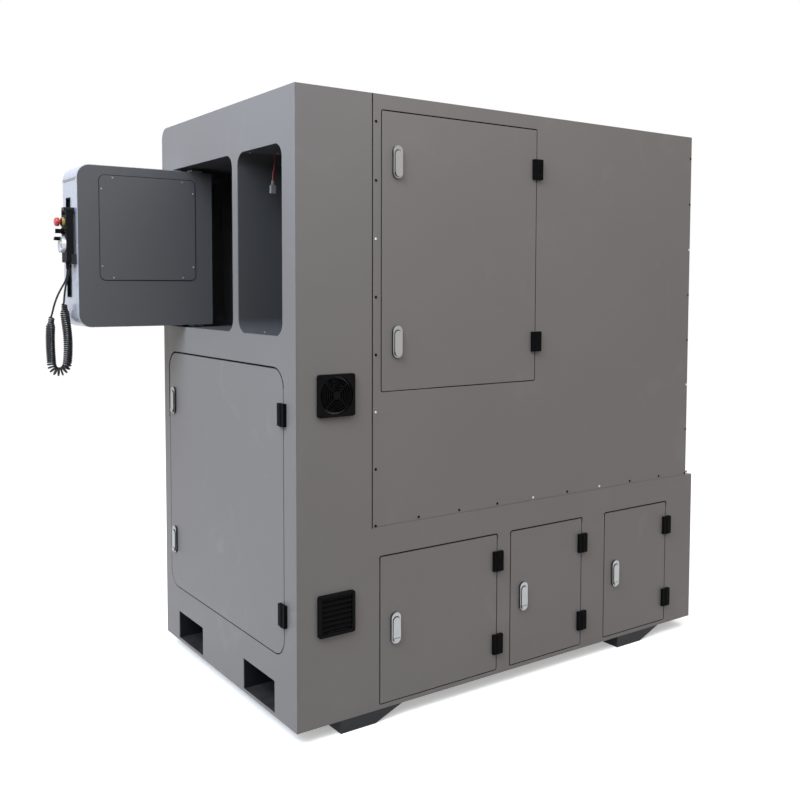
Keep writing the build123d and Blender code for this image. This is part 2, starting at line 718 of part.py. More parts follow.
def fork_tubes():
    """Two rectangular tubes through the base for lifting forks."""
    z = BODY_Z + BASE_PLATE
    tubes = []
    for x in pocket_starts():
        y = FRONT_Y + x
        x0, x1 = FAR_X + SHEET, END_X - SHEET
        side, height = POCKET_WIDTH + TUBE_WALL, POCKET_HEIGHT + 2 * TUBE_WALL
        outer = block(x0, x1, y - TUBE_WALL, y + side, z, z + height)
        inner = block(x0 - CUT, x1 + CUT, y, y + POCKET_WIDTH, z + TUBE_WALL, z + TUBE_WALL + POCKET_HEIGHT)
        tubes.append(outer - inner)
    return Compound(tubes)


def bay_liners():
    """Closed liners of the two bays, with rounded corners like the openings."""
    liners = []
    lap = 2 * LINER
    for x, width in (side_bay(), control_bay()):
        outer = rounded(x - LINER, BAY_RISE - LINER, width + lap, BAY_HEIGHT + lap, BAY_CORNER + LINER)
        inner = rounded(x, BAY_RISE, width, BAY_HEIGHT, BAY_CORNER)
        back = -SHEET - BAY_DEPTH
        liners.append(WALLS["end"] * (slab(outer, back - LINER, -SHEET) - slab(inner, back, CUT)))
    return Compound(liners)


def electrical_panel():
    """Mounting plate on posts with drives, wiring ducts and a row of breakers."""
    x = SEAM_X + PARTITION
    y0, y1 = FRONT_Y + PANEL_MARGIN, REAR_Y - PANEL_MARGIN
    z0 = BASE_Z
    z1 = BAY_Z - PANEL_TOP_GAP
    face = x + PANEL_STANDOFF + PANEL_SHEET
    panel = block(x + PANEL_STANDOFF, face, y0, y1, z0, z1)
    for y in (y0 + PANEL_POST, y1 - PANEL_POST):
        for z in (z0 + PANEL_POST, z1 - PANEL_POST):
            panel += Pos(x, y, z) * rod(PANEL_POST / 2, PANEL_STANDOFF, "x")
    drive_z = z1 - DUCT_SIZE - DRIVE_HEIGHT
    for index in range(DRIVE_COUNT):
        y = y0 + DUCT_SIZE + index * DRIVE_PITCH
        panel += block(face, face + DRIVE_DEPTH, y, y + DRIVE_WIDTH, drive_z, drive_z + DRIVE_HEIGHT)
        side = y + DRIVE_WIDTH
        panel += block(face, face + DRIVE_DEPTH / 2, side, side + DRIVE_FIN, drive_z, drive_z + DRIVE_HEIGHT)
    for z in (z1 - DUCT_SIZE, drive_z - DUCT_SIZE):
        panel += block(face, face + DUCT_SIZE, y0, y1, z, z + DUCT_SIZE)
    breaker_top = z1 - DUCT_SIZE
    breaker_z = breaker_top - BREAKER_HEIGHT
    start = y0 + DUCT_SIZE + DRIVE_COUNT * DRIVE_PITCH
    for index in range(BREAKER_COUNT - DRIVE_COUNT):
        y = start + index * BREAKER_PITCH
        panel += block(face, face + BREAKER_DEPTH, y, y + BREAKER_WIDTH, breaker_z, breaker_top)
    return panel


def fan_guard():
    """Square guard with a round grille of rings on four spokes."""
    size = RectangleRounded(VENT_SIZE, VENT_SIZE, VENT_CORNER)
    guard = slab(size - Circle(GRILLE_RADIUS), 0, VENT_PROUD)
    low = VENT_PROUD - GRILLE_DEPTH
    pitch = (GRILLE_RADIUS - GRILLE_HUB) / GRILLE_RINGS
    grille = Sketch() + Circle(GRILLE_HUB)
    for index in range(1, GRILLE_RINGS):
        radius = GRILLE_HUB + index * pitch
        grille += Circle(radius + GRILLE_BAR / 2) - Circle(radius - GRILLE_BAR / 2)
    for index in range(GRILLE_SPOKES):
        turn = 360 * (index + 0.5) / GRILLE_SPOKES
        reach = GRILLE_RADIUS + GRILLE_BAR
        grille += Rot(0, 0, turn) * Pos(reach / 2, 0) * Rectangle(reach, GRILLE_BAR)
    return guard + slab(grille, low, VENT_PROUD)


def filter_guard():
    """Square guard with sloping louvre slats."""
    opening = VENT_SIZE - 2 * SLAT_FRAME
    size = RectangleRounded(VENT_SIZE, VENT_SIZE, VENT_CORNER)
    guard = slab(size - Rectangle(opening, opening), 0, VENT_PROUD)
    middle = VENT_PROUD / 2
    limit = Pos(0, 0, middle) * Box(VENT_SIZE, VENT_SIZE, VENT_PROUD)
    pitch = opening / SLAT_COUNT
    for index in range(SLAT_COUNT):
        y = -opening / 2 + (index + 0.5) * pitch
        slat = Rot(SLAT_ANGLE, 0, 0) * Box(opening + GRILLE_BAR, SLAT_WIDTH, SLAT_THICKNESS)
        guard += (Pos(0, y, middle) * slat) & limit
    return guard


def fan_frame():
    """Fan housing behind the wall, with its motor carried on three struts."""
    back = -SHEET - FAN_DEPTH
    frame = slab(RectangleRounded(FAN_SIZE, FAN_SIZE, VENT_CORNER) - Circle(FAN_DUCT), back, -SHEET)
    for index in range(3):
        bar = Pos(FAN_DUCT / 2, 0) * Rectangle(FAN_DUCT + GRILLE_BAR, FAN_STRUT)
        frame += slab(Rot(0, 0, 360 * index / 3) * bar, back, back + GRILLE_DEPTH)
    frame += slab(Circle(FAN_HUB), back, back + FAN_MOTOR_DEPTH)
    return frame + Pos(0, 0, back) * rod(FAN_PIN, FAN_DEPTH - GRILLE_DEPTH, "z")


def vent_guards():
    """Fan guard with the fan housing behind it, and the filter guard below."""
    fan = Pos(VENT_CENTRE, FAN_RISE, 0)
    return Compound(
        [
            WALLS["rear"] * fan * fan_guard(),
            WALLS["rear"] * fan * fan_frame(),
            WALLS["rear"] * Pos(VENT_CENTRE, FILTER_RISE, 0) * filter_guard(),
        ]
    )


def fan_rotor():
    """Hub with pitched blades, turning on the motor's pin."""
    back = -SHEET - FAN_DEPTH + FAN_MOTOR_DEPTH + RUN
    front = -SHEET - GRILLE_DEPTH
    rotor = slab(Circle(FAN_HUB), back, front)
    for index in range(FAN_BLADES):
        blade = Rot(BLADE_PITCH, 0, 0) * Box(BLADE_TIP, BLADE_CHORD, BLADE_THICKNESS)
        rotor += Rot(0, 0, 360 * index / FAN_BLADES) * Pos(BLADE_TIP / 2, 0, (back + front) / 2) * blade
    rotor -= Pos(0, 0, back - CUT) * rod(FAN_PIN + FIT, front - back + 2 * CUT, "z")
    return WALLS["rear"] * Pos(VENT_CENTRE, FAN_RISE, 0) * rotor


def hinge_leaf(side):
    """Flat leaf of a hinge on one side of the pin."""
    inner = HINGE_RADIUS + HINGE_GAP
    sketch = Pos(side * (inner + HINGE_LEAF) / 2, 0) * Rectangle(HINGE_LEAF - inner, HINGE_HEIGHT)
    return slab(sketch, 0, HINGE_THICKNESS)


def knuckle(side, centre, length):
    """Barrel section about the pin, joined to the leaf on its side."""
    barrel = Pos(0, centre - length / 2, HINGE_AXIS) * rod(HINGE_RADIUS, length, "y")
    reach = HINGE_RADIUS + HINGE_GAP + HINGE_THICKNESS / 2
    return barrel + slab(Pos(side * reach / 2, centre) * Rectangle(reach, length), 0, HINGE_THICKNESS)


def frame_hinge():
    """Hinge half on the wall: leaf, two outer knuckles and the pin."""
    third = HINGE_HEIGHT / 3
    half = hinge_leaf(1)
    for side in (-1, 1):
        half += knuckle(1, side * third, third - HINGE_GAP)
    return half + Pos(0, -HINGE_HEIGHT / 2, HINGE_AXIS) * rod(HINGE_PIN, HINGE_HEIGHT, "y")


def door_hinge():
    """Hinge half on the door: leaf and the middle knuckle round the pin."""
    third = HINGE_HEIGHT / 3
    half = hinge_leaf(-1) + knuckle(-1, 0, third - HINGE_GAP)
    return half - Pos(0, -HINGE_HEIGHT / 2, HINGE_AXIS) * rod(HINGE_PIN + FIT, HINGE_HEIGHT, "y")


def hinge_places(door):
    """Locations of a door's hinges."""
    return [WALLS[door.wall] * Pos(door.axis_x, z, 0) for z in door.hinge_zs]


def frame_hinges():
    """The wall's halves of all hinges."""
    half = frame_hinge()
    return Compound([place * half for door in DOORS for place in hinge_places(door)])


def door_hinges(door):
    """The door's halves of its two hinges."""
    half = door_hinge()
    return Compound([place * half for place in hinge_places(door)])


def door_leaf(door):
    """Folded door with a rim, a hat stiffener inside and windows for its latches."""
    inset = SHEET
    outer = rounded(door.x, door.z, door.width, door.height, door.corner)
    inner = rounded(
        door.x + inset, door.z + inset, door.width - 2 * inset, door.height - 2 * inset, door.corner - inset
    )
    leaf = slab(outer, -DOOR_DEPTH, 0) - slab(inner, -DOOR_DEPTH - CUT, -SHEET)
    middle = door.x + door.width / 2
    deep = -SHEET - STIFFENER_DEPTH
    hat = slab(rect(middle - STIFFENER / 2, door.z + inset, STIFFENER, door.height - 2 * inset), deep, -SHEET)
    hollow = STIFFENER - 2 * STIFFENER_SHEET
    hat -= slab(
        rect(middle - hollow / 2, door.z, hollow, door.height), deep + STIFFENER_SHEET, -SHEET
    )
    leaf += hat
    for z in door.latch_zs:
        half = (LATCH_CUP_HEIGHT + RUN) / 2
        window = upright_slot(-half, half, LATCH_CUP_WIDTH + RUN)
        leaf -= Pos(door.latch_x, z) * slab(window, -SHEET - CUT, CUT)
    return WALLS[door.wall] * leaf


def latch():
    """Latch housing: proud rim with a solid cap, a cup behind it and the lever's pin across the cup."""
    half = LATCH_HEIGHT / 2
    housing = slab(upright_slot(-half, half, LATCH_WIDTH), 0, LATCH_PROUD)
    half = LATCH_CUP_HEIGHT / 2
    housing += slab(upright_slot(-half, half, LATCH_CUP_WIDTH), -LATCH_DEPTH, 0)
    pocket = upright_slot(LATCH_POCKET_LOW, LATCH_POCKET_TOP, LATCH_POCKET_WIDTH)
    housing -= slab(pocket, -LATCH_DEPTH + LATCH_WALL, LATCH_PROUD + CUT)
    length = LATCH_POCKET_WIDTH + LATCH_WALL
    return housing + Pos(-length / 2, LEVER_PIN_RISE, LEVER_PIN_OUT) * rod(LEVER_PIN, length, "x")


def lever():
    """Paddle that fills the latch, with a boss round the pin and a lip at its lower end."""
    outline = upright_slot(LEVER_LOW, LEVER_TOP, LEVER_WIDTH)
    paddle = slab(outline, 0, LEVER_FACE)
    foot = outline & rect(-LEVER_WIDTH / 2, LEVER_LOW, LEVER_WIDTH, LEVER_LIP_LENGTH)
    paddle += slab(foot, 0, LEVER_FACE + LEVER_LIP)
    length = LEVER_WIDTH - 2 * LEVER_GAP
    paddle += Pos(-length / 2, LEVER_PIN_RISE, LEVER_PIN_OUT) * rod(LEVER_BOSS, length, "x")
    bore = rod(LEVER_PIN + FIT, 2 * LEVER_WIDTH, "x")
    return paddle - Pos(-LEVER_WIDTH, LEVER_PIN_RISE, LEVER_PIN_OUT) * bore


def latch_places(door):
    """Locations of a door's latches."""
    return [WALLS[door.wall] * Pos(door.latch_x, z, 0) for z in door.latch_zs]


def box_profile(inset):
    """Side outline of the control box, rounded at its outer end, inset by a wall."""
    sketch = rect(inset, inset, BOX_LENGTH - 2 * inset, BOX_HEIGHT - 2 * inset)
    corners = sketch.vertices().sort_by(Axis.X)
    sketch = fillet(corners[2:], BOX_CORNER - inset)
    return fillet(sketch.vertices().sort_by(Axis.X)[:2], BOX_REAR_CORNER - inset)


def box_side(sketch, near, far):
    """Sketch on the side of the control box, extruded from y near to y far."""
    return Pos(BOX_X0, 0, BOX_Z0) * Rot(90, 0, 0) * slab(sketch, -near, -far)


def cover_outline(inset):
    """Outline of the screwed cover on the box's rear side."""
    x = BOX_LENGTH - COVER_START - COVER_LENGTH + inset
    y = BOX_HEIGHT - COVER_DROP - COVER_HEIGHT + inset
    return rounded(x, y, COVER_LENGTH - 2 * inset, COVER_HEIGHT - 2 * inset, COVER_CORNER - inset)


def panel_outline(inset):
    """Outline of the operator panel on the box's front side."""
    edge = PANEL_EDGE + inset
    return rounded(edge, edge, BOX_LENGTH - 2 * edge, BOX_HEIGHT - 2 * edge, PANEL_CORNER - inset)


def control_box():
    """Hollow housing, open behind the cover and the operator panel, bushed for its pivots."""
    box = box_side(box_profile(0), BOX_Y1, BOX_Y0)
    box -= box_side(box_profile(BOX_WALL), BOX_Y1 - BOX_WALL, BOX_Y0 + BOX_WALL)
    box -= box_side(cover_outline(COVER_LAP), BOX_Y1 + CUT, BOX_Y1 - BOX_WALL - CUT)
    box -= box_side(panel_outline(PANEL_LAP), BOX_Y0 + BOX_WALL + CUT, BOX_Y0 - CUT)
    bush = rod(PIVOT_BUSH, PIVOT_BUSH_LENGTH, "z")
    box += Pos(PIVOT_X, PIVOT_Y, BOX_Z0) * bush
    box += Pos(PIVOT_X, PIVOT_Y, BOX_Z1 - PIVOT_BUSH_LENGTH) * bush
    box -= Pos(PIVOT_X, PIVOT_Y, BOX_Z0 - CUT) * rod(PIVOT_RADIUS + FIT, BOX_HEIGHT + 2 * CUT, "z")
    window = block(
        BOX_X1 - BOX_WALL - CUT, BOX_X1 + CUT, BOX_Y0 + SIDE_FRAME, BOX_Y1 - SIDE_FRAME,
        BOX_Z0 + BOX_CORNER + SIDE_FRAME, BOX_Z1 - BOX_CORNER - SIDE_FRAME,
    )
    return box - window


def pull_cup(gap):
    """Body of the recessed pull, set into the outer side of the box."""
    width = PULL_WIDTH - 2 * PULL_RIM + gap
    height = PULL_HEIGHT - 2 * PULL_RIM + gap
    y = PIVOT_Y - PULL_OFFSET
    z = BOX_Z0 + PULL_RISE + PULL_HEIGHT / 2
    return Pos(SIDE_X - PULL_DEPTH / 2, y, z) * Box(PULL_DEPTH + 2 * gap, width, height)


def pull():
    """Recessed pull: a rim on the side plate and a hollow cup behind it."""
    y = PIVOT_Y - PULL_OFFSET
    z = BOX_Z0 + PULL_RISE
    rim = block(SIDE_X, SIDE_X + PULL_RIM, y - PULL_WIDTH / 2, y + PULL_WIDTH / 2, z, z + PULL_HEIGHT)
    inset = PULL_RIM + PULL_WALL
    hollow = block(
        SIDE_X - PULL_DEPTH + PULL_WALL, SIDE_X + PULL_RIM + CUT,
        y - PULL_WIDTH / 2 + inset, y + PULL_WIDTH / 2 - inset, z + inset, z + PULL_HEIGHT - inset,
    )
    return rim + pull_cup(0) - hollow


def side_plate():
    """Pale plate on the outer side of the box, cut out for the pull."""
    z0, z1 = BOX_Z0 + BOX_CORNER, BOX_Z1 - BOX_CORNER
    plate = block(BOX_X1, SIDE_X, BOX_Y0 + SIDE_MARGIN, BOX_Y1 - SIDE_MARGIN, z0, z1)
    return plate - pull_cup(RUN)


def control_panel():
    """Operator panel: plate with a recessed screen and a raised keypad."""
    plate = box_side(panel_outline(0), BOX_Y0, BOX_Y0 - OPERATOR_SHEET)
    face = BOX_Y0 - OPERATOR_SHEET
    top = PANEL_EDGE + PANEL_HEIGHT * (1 - SCREEN_DROP_SHARE)
    left = (BOX_LENGTH - SCREEN_WIDTH) / 2
    screen = rounded(left, top - SCREEN_HEIGHT, SCREEN_WIDTH, SCREEN_HEIGHT, SCREEN_CORNER)
    plate -= box_side(screen, face + SCREEN_RECESS, face - CUT)
    start = (BOX_LENGTH - (KEY_COLUMNS - 1) * KEY_PITCH_X) / 2
    low = PANEL_EDGE + PANEL_HEIGHT * KEYPAD_RISE_SHARE + KEY_PITCH_Z / 2
    key = Rectangle(KEY_PITCH_X * KEY_SHARE, KEY_PITCH_Z * KEY_SHARE)
    keys = [
        Pos(start + column * KEY_PITCH_X, low + row * KEY_PITCH_Z) * key
        for column in range(KEY_COLUMNS)
        for row in range(KEY_ROWS)
    ]
    return plate + box_side(Sketch() + keys, face, face - KEY_RISE)


def box_pivots():
    """Pivot blocks in the bay, above and below the box, each with its pin."""
    half = PIVOT_BLOCK / 2
    sides = (PIVOT_X - half, PIVOT_X + half, PIVOT_Y - half, PIVOT_Y + half)
    lower = block(*sides, BAY_Z, BOX_Z0 - RUN)
    lower += Pos(PIVOT_X, PIVOT_Y, BAY_Z) * rod(PIVOT_RADIUS, BOX_LOWER_GAP + PIVOT_REACH, "z")
    upper = block(*sides, BOX_Z1 + RUN, BAY_TOP)
    upper += Pos(PIVOT_X, PIVOT_Y, BOX_Z1 - PIVOT_REACH) * rod(PIVOT_RADIUS, BOX_UPPER_GAP + PIVOT_REACH, "z")
    return Compound([lower, upper])


def pendant_body():
    """Pendant housing with a lamp, the stop's collar, the shafts of knob and wheel and a cord relief."""
    outline = Pos(0, PENDANT_HEIGHT / 2) * RectangleRounded(PENDANT_WIDTH, PENDANT_HEIGHT, PENDANT_CORNER)
    place = Plane((PENDANT_X0, PENDANT_Y, PENDANT_Z0), x_dir=(0, 1, 0), z_dir=(1, 0, 0)).location
    body = place * slab(outline, 0, PENDANT_THICKNESS)
    front = Pos(PENDANT_X1, PENDANT_Y, PENDANT_Z0)
    body += front * Pos(0, 0, STOP_RISE) * rod(COLLAR_RADIUS, COLLAR_HEIGHT, "x")
    body += front * Pos(0, 0, LAMP_RISE) * rod(LAMP_RADIUS, LAMP_HEIGHT, "x")
    stop_hole = STOP_TRAVEL + COLLAR_HEIGHT
    neck_room = rod(STOP_NECK + FIT, stop_hole + CUT, "x")
    body -= front * Pos(COLLAR_HEIGHT - stop_hole - RUN, 0, STOP_RISE) * neck_room
    for rise in (KNOB_RISE, WHEEL_RISE):
        body += front * Pos(0, 0, rise) * rod(WHEEL_SHAFT, WHEEL_DEPTH, "x")
    relief = Pos(PENDANT_X0 + RELIEF_INSET, PENDANT_Y, PENDANT_Z0 - RELIEF_LENGTH / 2)
    return body + relief * Cone(RELIEF_TIP, RELIEF_RADIUS, RELIEF_LENGTH)


def pendant_stop():
    """Mushroom stop button on its neck."""
    neck = STOP_REACH - STOP_HEAD
    place = Pos(PENDANT_X1, PENDANT_Y, PENDANT_Z0 + STOP_RISE)
    button = place * rod(STOP_NECK, neck + BEND, "x")
    head = chamfer(rod(STOP_RADIUS, STOP_HEAD, "x").edges().group_by(Axis.X)[-1], STOP_HEAD / 3)
    return button + place * Pos(neck, 0, 0) * head


def pendant_knob():
    """Selector knob with a grip bar across its top."""
    place = Pos(PENDANT_X1 + WHEEL_GAP, PENDANT_Y, PENDANT_Z0 + KNOB_RISE)
    knob = rod(KNOB_RADIUS, KNOB_SKIRT, "x")
    knob += Pos(KNOB_HEIGHT / 2, 0, 0) * Box(KNOB_HEIGHT, KNOB_WING, 2 * KNOB_RADIUS - KNOB_WING)
    return place * (knob - Pos(-CUT, 0, 0) * rod(WHEEL_SHAFT + FIT, WHEEL_DEPTH + CUT, "x"))


def handwheel():
    """Dished handwheel with a rim, bored for its shaft, and a crank handle."""
    wheel = rod(WHEEL_RADIUS, WHEEL_DEPTH, "x")
    dish = rod(WHEEL_RADIUS - WHEEL_RIM, WHEEL_DEPTH, "x") - rod(WHEEL_HUB, WHEEL_DEPTH, "x")
    wheel -= Pos(WHEEL_DEPTH / 2, 0, 0) * dish
    wheel += Pos(0, 0, CRANK_ARM) * rod(CRANK_RADIUS, WHEEL_DEPTH + CRANK_LENGTH, "x")
    wheel -= Pos(-CUT, 0, 0) * rod(WHEEL_SHAFT + FIT, WHEEL_DEPTH + CUT, "x")
    return Pos(PENDANT_X1 + WHEEL_GAP, PENDANT_Y, PENDANT_Z0 + WHEEL_RISE) * wheel


def pendant_holder():
    """Hook over the pendant's top, and the cradle under it with the cord's outlet."""
    half = HOOK_WIDTH / 2
    top = PENDANT_Z1 + HOOK_SHEET
    front = PENDANT_X1 + HOOK_SHEET
    hook = block(SIDE_X, front, PENDANT_Y - half, PENDANT_Y + half, PENDANT_Z1, top)
    hook += block(PENDANT_X1, front, PENDANT_Y - half, PENDANT_Y + half, PENDANT_Z1 - HOOK_LIP, top)
    hook += block(SIDE_X, PENDANT_X0, PENDANT_Y - half, PENDANT_Y + half, PENDANT_Z1 - HOOK_BACK, top)
    side = PENDANT_WIDTH / 2
    y0, y1 = PENDANT_Y - side - CHEEK_SHEET, PENDANT_Y + side + CHEEK_SHEET
    low = PENDANT_Z0 - SHELF_SHEET
    cradle = block(SIDE_X, SIDE_X + SHELF_DEPTH, y0, y1, low, PENDANT_Z0 + CHEEK_HEIGHT)
    cradle -= block(PENDANT_X0, PENDANT_X1, PENDANT_Y - side, PENDANT_Y + side, PENDANT_Z0, PENDANT_Z1)
    outlet = Pos(SIDE_X + OUTLET_INSET, PENDANT_Y - OUTLET_SIDE, low - OUTLET_LENGTH)
    cradle += outlet * rod(OUTLET_RADIUS, OUTLET_LENGTH + BEND, "z")
    relief = rod(RELIEF_RADIUS + RUN, SHELF_SHEET + 2 * CUT, "z")
    cradle -= Pos(PENDANT_X0 + RELIEF_INSET, PENDANT_Y, low - CUT) * relief
    return Compound([hook, cradle])


def corner_radii(points):
    """Largest arcs that the runs of a route leave room for."""
    radii = []
    for before, here, after in zip(points, points[1:], points[2:]):
        run_in = Vector(here) - Vector(before)
        run_out = Vector(after) - Vector(here)
        shorter = min(run_in.length, run_out.length)
        radii.append(ARC_SHARE * shorter / tan(radians(run_in.get_angle(run_out) / 2)))
    return radii


def tube(name, points, radius):
    """Round tube along a route of straight runs and tangent arcs."""
    radii = corner_radii(points)
    path = FilletPolyline(*points, radius=radii)
    print(name, "length", round(path.length, 1), "radii", [round(value) for value in radii])
    return sweep(Plane(origin=path @ 0, z_dir=path % 0) * Circle(radius), path=path)


def lead_plug():
    """Connector on the red lead, stepped where its wires go in, with a latch rib."""
    x, y, z = BAY_LEAD[-1]
    half, deep = PLUG_WIDTH / 2, PLUG_DEPTH / 2
    low, top = z - PLUG_LENGTH, z - PLUG_STEP
    plug = block(x - half, x + half, y - deep, y + deep, low, top)
    waist = deep - PLUG_LATCH
    plug += block(x - waist, x + waist, y - waist, y + waist, top, z)
    rib = PLUG_LATCH / 2
    return plug + block(x - rib, x + rib, y - deep - PLUG_LATCH, y, low + PLUG_LATCH, top - PLUG_LATCH)


def front_door():
    """Sliding work door: folded leaf with a window, tongues for its tracks and a bow grip."""
    outer = rounded(FRONT_DOOR_X, FRONT_DOOR_Z, FRONT_DOOR_WIDTH, FRONT_DOOR_HEIGHT, FRONT_DOOR_CORNER)
    inset = 2 * SHEET
    inner = rounded(
        FRONT_DOOR_X + SHEET, FRONT_DOOR_Z + SHEET, FRONT_DOOR_WIDTH - inset, FRONT_DOOR_HEIGHT - inset,
        FRONT_DOOR_CORNER - SHEET,
    )
    back = FRONT_DOOR_GAP
    face = back + FRONT_DOOR_DEPTH
    leaf = slab(outer, back, face) - slab(inner, back - CUT, face - SHEET)
    leaf -= slab(window_outline(0), face - SHEET - CUT, face + CUT)
    length = FRONT_DOOR_WIDTH - 2 * FRONT_DOOR_CORNER
    start = FRONT_DOOR_X + FRONT_DOOR_CORNER
    for low in (FRONT_DOOR_Z - TONGUE_HEIGHT, FRONT_DOOR_Z + FRONT_DOOR_HEIGHT - SHEET):
        leaf += slab(rect(start, low, length, TONGUE_HEIGHT + SHEET), back, back + TONGUE)
    x = FRONT_DOOR_X + GRIP_INSET
    z = FRONT_DOOR_Z + GRIP_RISE
    for rise in (z, z + GRIP_LENGTH):
        leaf += Pos(x, rise, face) * rod(GRIP_RADIUS, GRIP_STANDOFF, "z")
    bar = rod(GRIP_RADIUS, GRIP_LENGTH + 2 * GRIP_RADIUS, "y")
    grip = Pos(x, z - GRIP_RADIUS, face + GRIP_STANDOFF) * bar
    return WALLS["front"] * (leaf + grip)


def window_outline(lap):
    """Outline of the work door's window, wider by a lap on every side."""
    x = FRONT_DOOR_X + (FRONT_DOOR_WIDTH - WINDOW_WIDTH) / 2 - lap
    z = FRONT_DOOR_Z + WINDOW_RISE - lap
    return rounded(x, z, WINDOW_WIDTH + 2 * lap, WINDOW_HEIGHT + 2 * lap, WINDOW_CORNER + lap)


def front_window():
    """Window pane, held behind the door's face."""
    face = FRONT_DOOR_GAP + FRONT_DOOR_DEPTH - SHEET
    return WALLS["front"] * slab(window_outline(WINDOW_LAP), face - WINDOW_THICKNESS, face)


def bed_casting():
    """Bed with sloping sides and two flat ways along Y."""
    with BuildLine() as edge:
        half = BED_LENGTH / 2
        Polyline(
            (-half, 0), (half, 0), (half - BED_TAPER, BED_HEIGHT), (-half + BED_TAPER, BED_HEIGHT), close=True
        )
    profile = make_face(edge.line)
    for side in (-1, 1):
        x = side * WAY_SPREAD / 2
        profile += rect(x - WAY_WIDTH / 2, BED_HEIGHT, WAY_WIDTH, WAY_HEIGHT)
    y = BED_OFFSET + BED_WIDTH / 2
    bed = Pos(MILL_X, y, BASE_Z) * Rot(90, 0, 0) * slab(profile, 0, BED_WIDTH)
    front = COLUMN_Y - COLUMN_DEPTH / 2
    above = BED_TOP + WAY_HEIGHT + CUT
    return bed - block(MILL_X - BED_LENGTH, MILL_X + BED_LENGTH, front, y + CUT, BED_TOP, above)


def column_casting():
    """Column that tapers towards the top, with two upright ways on its front."""
    base = Rectangle(COLUMN_WIDTH, COLUMN_DEPTH)
    top_width, top_depth = COLUMN_WIDTH * COLUMN_TOP_SHARE, COLUMN_DEPTH * COLUMN_TOP_SHARE
    top = Pos(0, (top_depth - COLUMN_DEPTH) / 2, COLUMN_HEIGHT) * Rectangle(top_width, top_depth)
    column = loft([base.face(), top.face()])
    front = -COLUMN_DEPTH / 2
    half = COLUMN_WAY_WIDTH / 2
    for side in (-1, 1):
        x = side * COLUMN_WAY_SPREAD / 2
        column += block(x - half, x + half, front - COLUMN_WAY_DEPTH, front, 0, COLUMN_HEIGHT)
    return Pos(MILL_X, COLUMN_Y, BED_TOP) * column


def saddle():
    """Saddle that slides along Y on the bed and carries two ways along X."""
    half = SADDLE_LENGTH / 2
    y0, y1 = SADDLE_Y - SADDLE_WIDTH / 2, SADDLE_Y + SADDLE_WIDTH / 2
    body = block(MILL_X - half, MILL_X + half, y0, y1, SADDLE_Z, SADDLE_Z + SADDLE_HEIGHT)
    top = SADDLE_Z + SADDLE_HEIGHT
    way = WAY_WIDTH / 2
    for side in (-1, 1):
        y = SADDLE_Y + side * TABLE_WAY_SPREAD / 2
        body += block(MILL_X - half, MILL_X + half, y - way, y + way, top, top + WAY_HEIGHT)
    return body


def table():
    """Work table with T slots along X."""
    half = TABLE_LENGTH / 2
    y0, y1 = SADDLE_Y - TABLE_WIDTH / 2, SADDLE_Y + TABLE_WIDTH / 2
    plate = block(MILL_X - half, MILL_X + half, y0, y1, TABLE_Z, TABLE_TOP)
    for index in range(T_SLOT_COUNT):
        y = SADDLE_Y + (index - (T_SLOT_COUNT - 1) / 2) * T_SLOT_PITCH
        x0, x1 = MILL_X - half - CUT, MILL_X + half + CUT
        floor = TABLE_TOP - T_SLOT_DEPTH
        plate -= block(x0, x1, y - T_SLOT_WIDTH / 2, y + T_SLOT_WIDTH / 2, floor, TABLE_TOP + CUT)
        plate -= block(x0, x1, y - T_SLOT_FOOT / 2, y + T_SLOT_FOOT / 2, floor, floor + T_SLOT_FOOT_HEIGHT)
    return plate


def spindle_head():
    """Head that slides along Z on the column, with the spindle motor on top and a bored spindle seat."""
    half = HEAD_WIDTH / 2
    front = HEAD_BACK - HEAD_DEPTH
    head = block(MILL_X - half, MILL_X + half, front, HEAD_BACK, HEAD_Z, HEAD_Z + HEAD_HEIGHT)
    head = chamfer(head.edges().filter_by(Axis.Z).group_by(Axis.Y)[0], HEAD_EDGE)
    motor = slab(RectangleRounded(MOTOR_SIZE, MOTOR_SIZE, MOTOR_CORNER), 0, MOTOR_HEIGHT)
    head += Pos(MILL_X, SPINDLE_Y, HEAD_Z + HEAD_HEIGHT) * motor
    return head - Pos(MILL_X, SPINDLE_Y, HEAD_Z - CUT) * rod(SPINDLE_RADIUS + FIT, SPINDLE_SEAT + CUT, "z")


def spindle():
    """Spindle nose: a stepped shaft with a tool bore."""
    shaft = rod(SPINDLE_RADIUS, SPINDLE_SEAT - RUN + SPINDLE_LENGTH / 3, "z")
    nose = SPINDLE_LENGTH * 2 / 3
    shaft = Pos(0, 0, -SPINDLE_LENGTH / 3) * shaft
    shaft += Pos(0, 0, -SPINDLE_LENGTH) * rod(SPINDLE_NOSE, nose + BEND, "z")
    shaft -= Pos(0, 0, -SPINDLE_LENGTH - CUT) * rod(SPINDLE_BORE, SPINDLE_LENGTH, "z")
    return Pos(MILL_X, SPINDLE_Y, HEAD_Z) * shaft


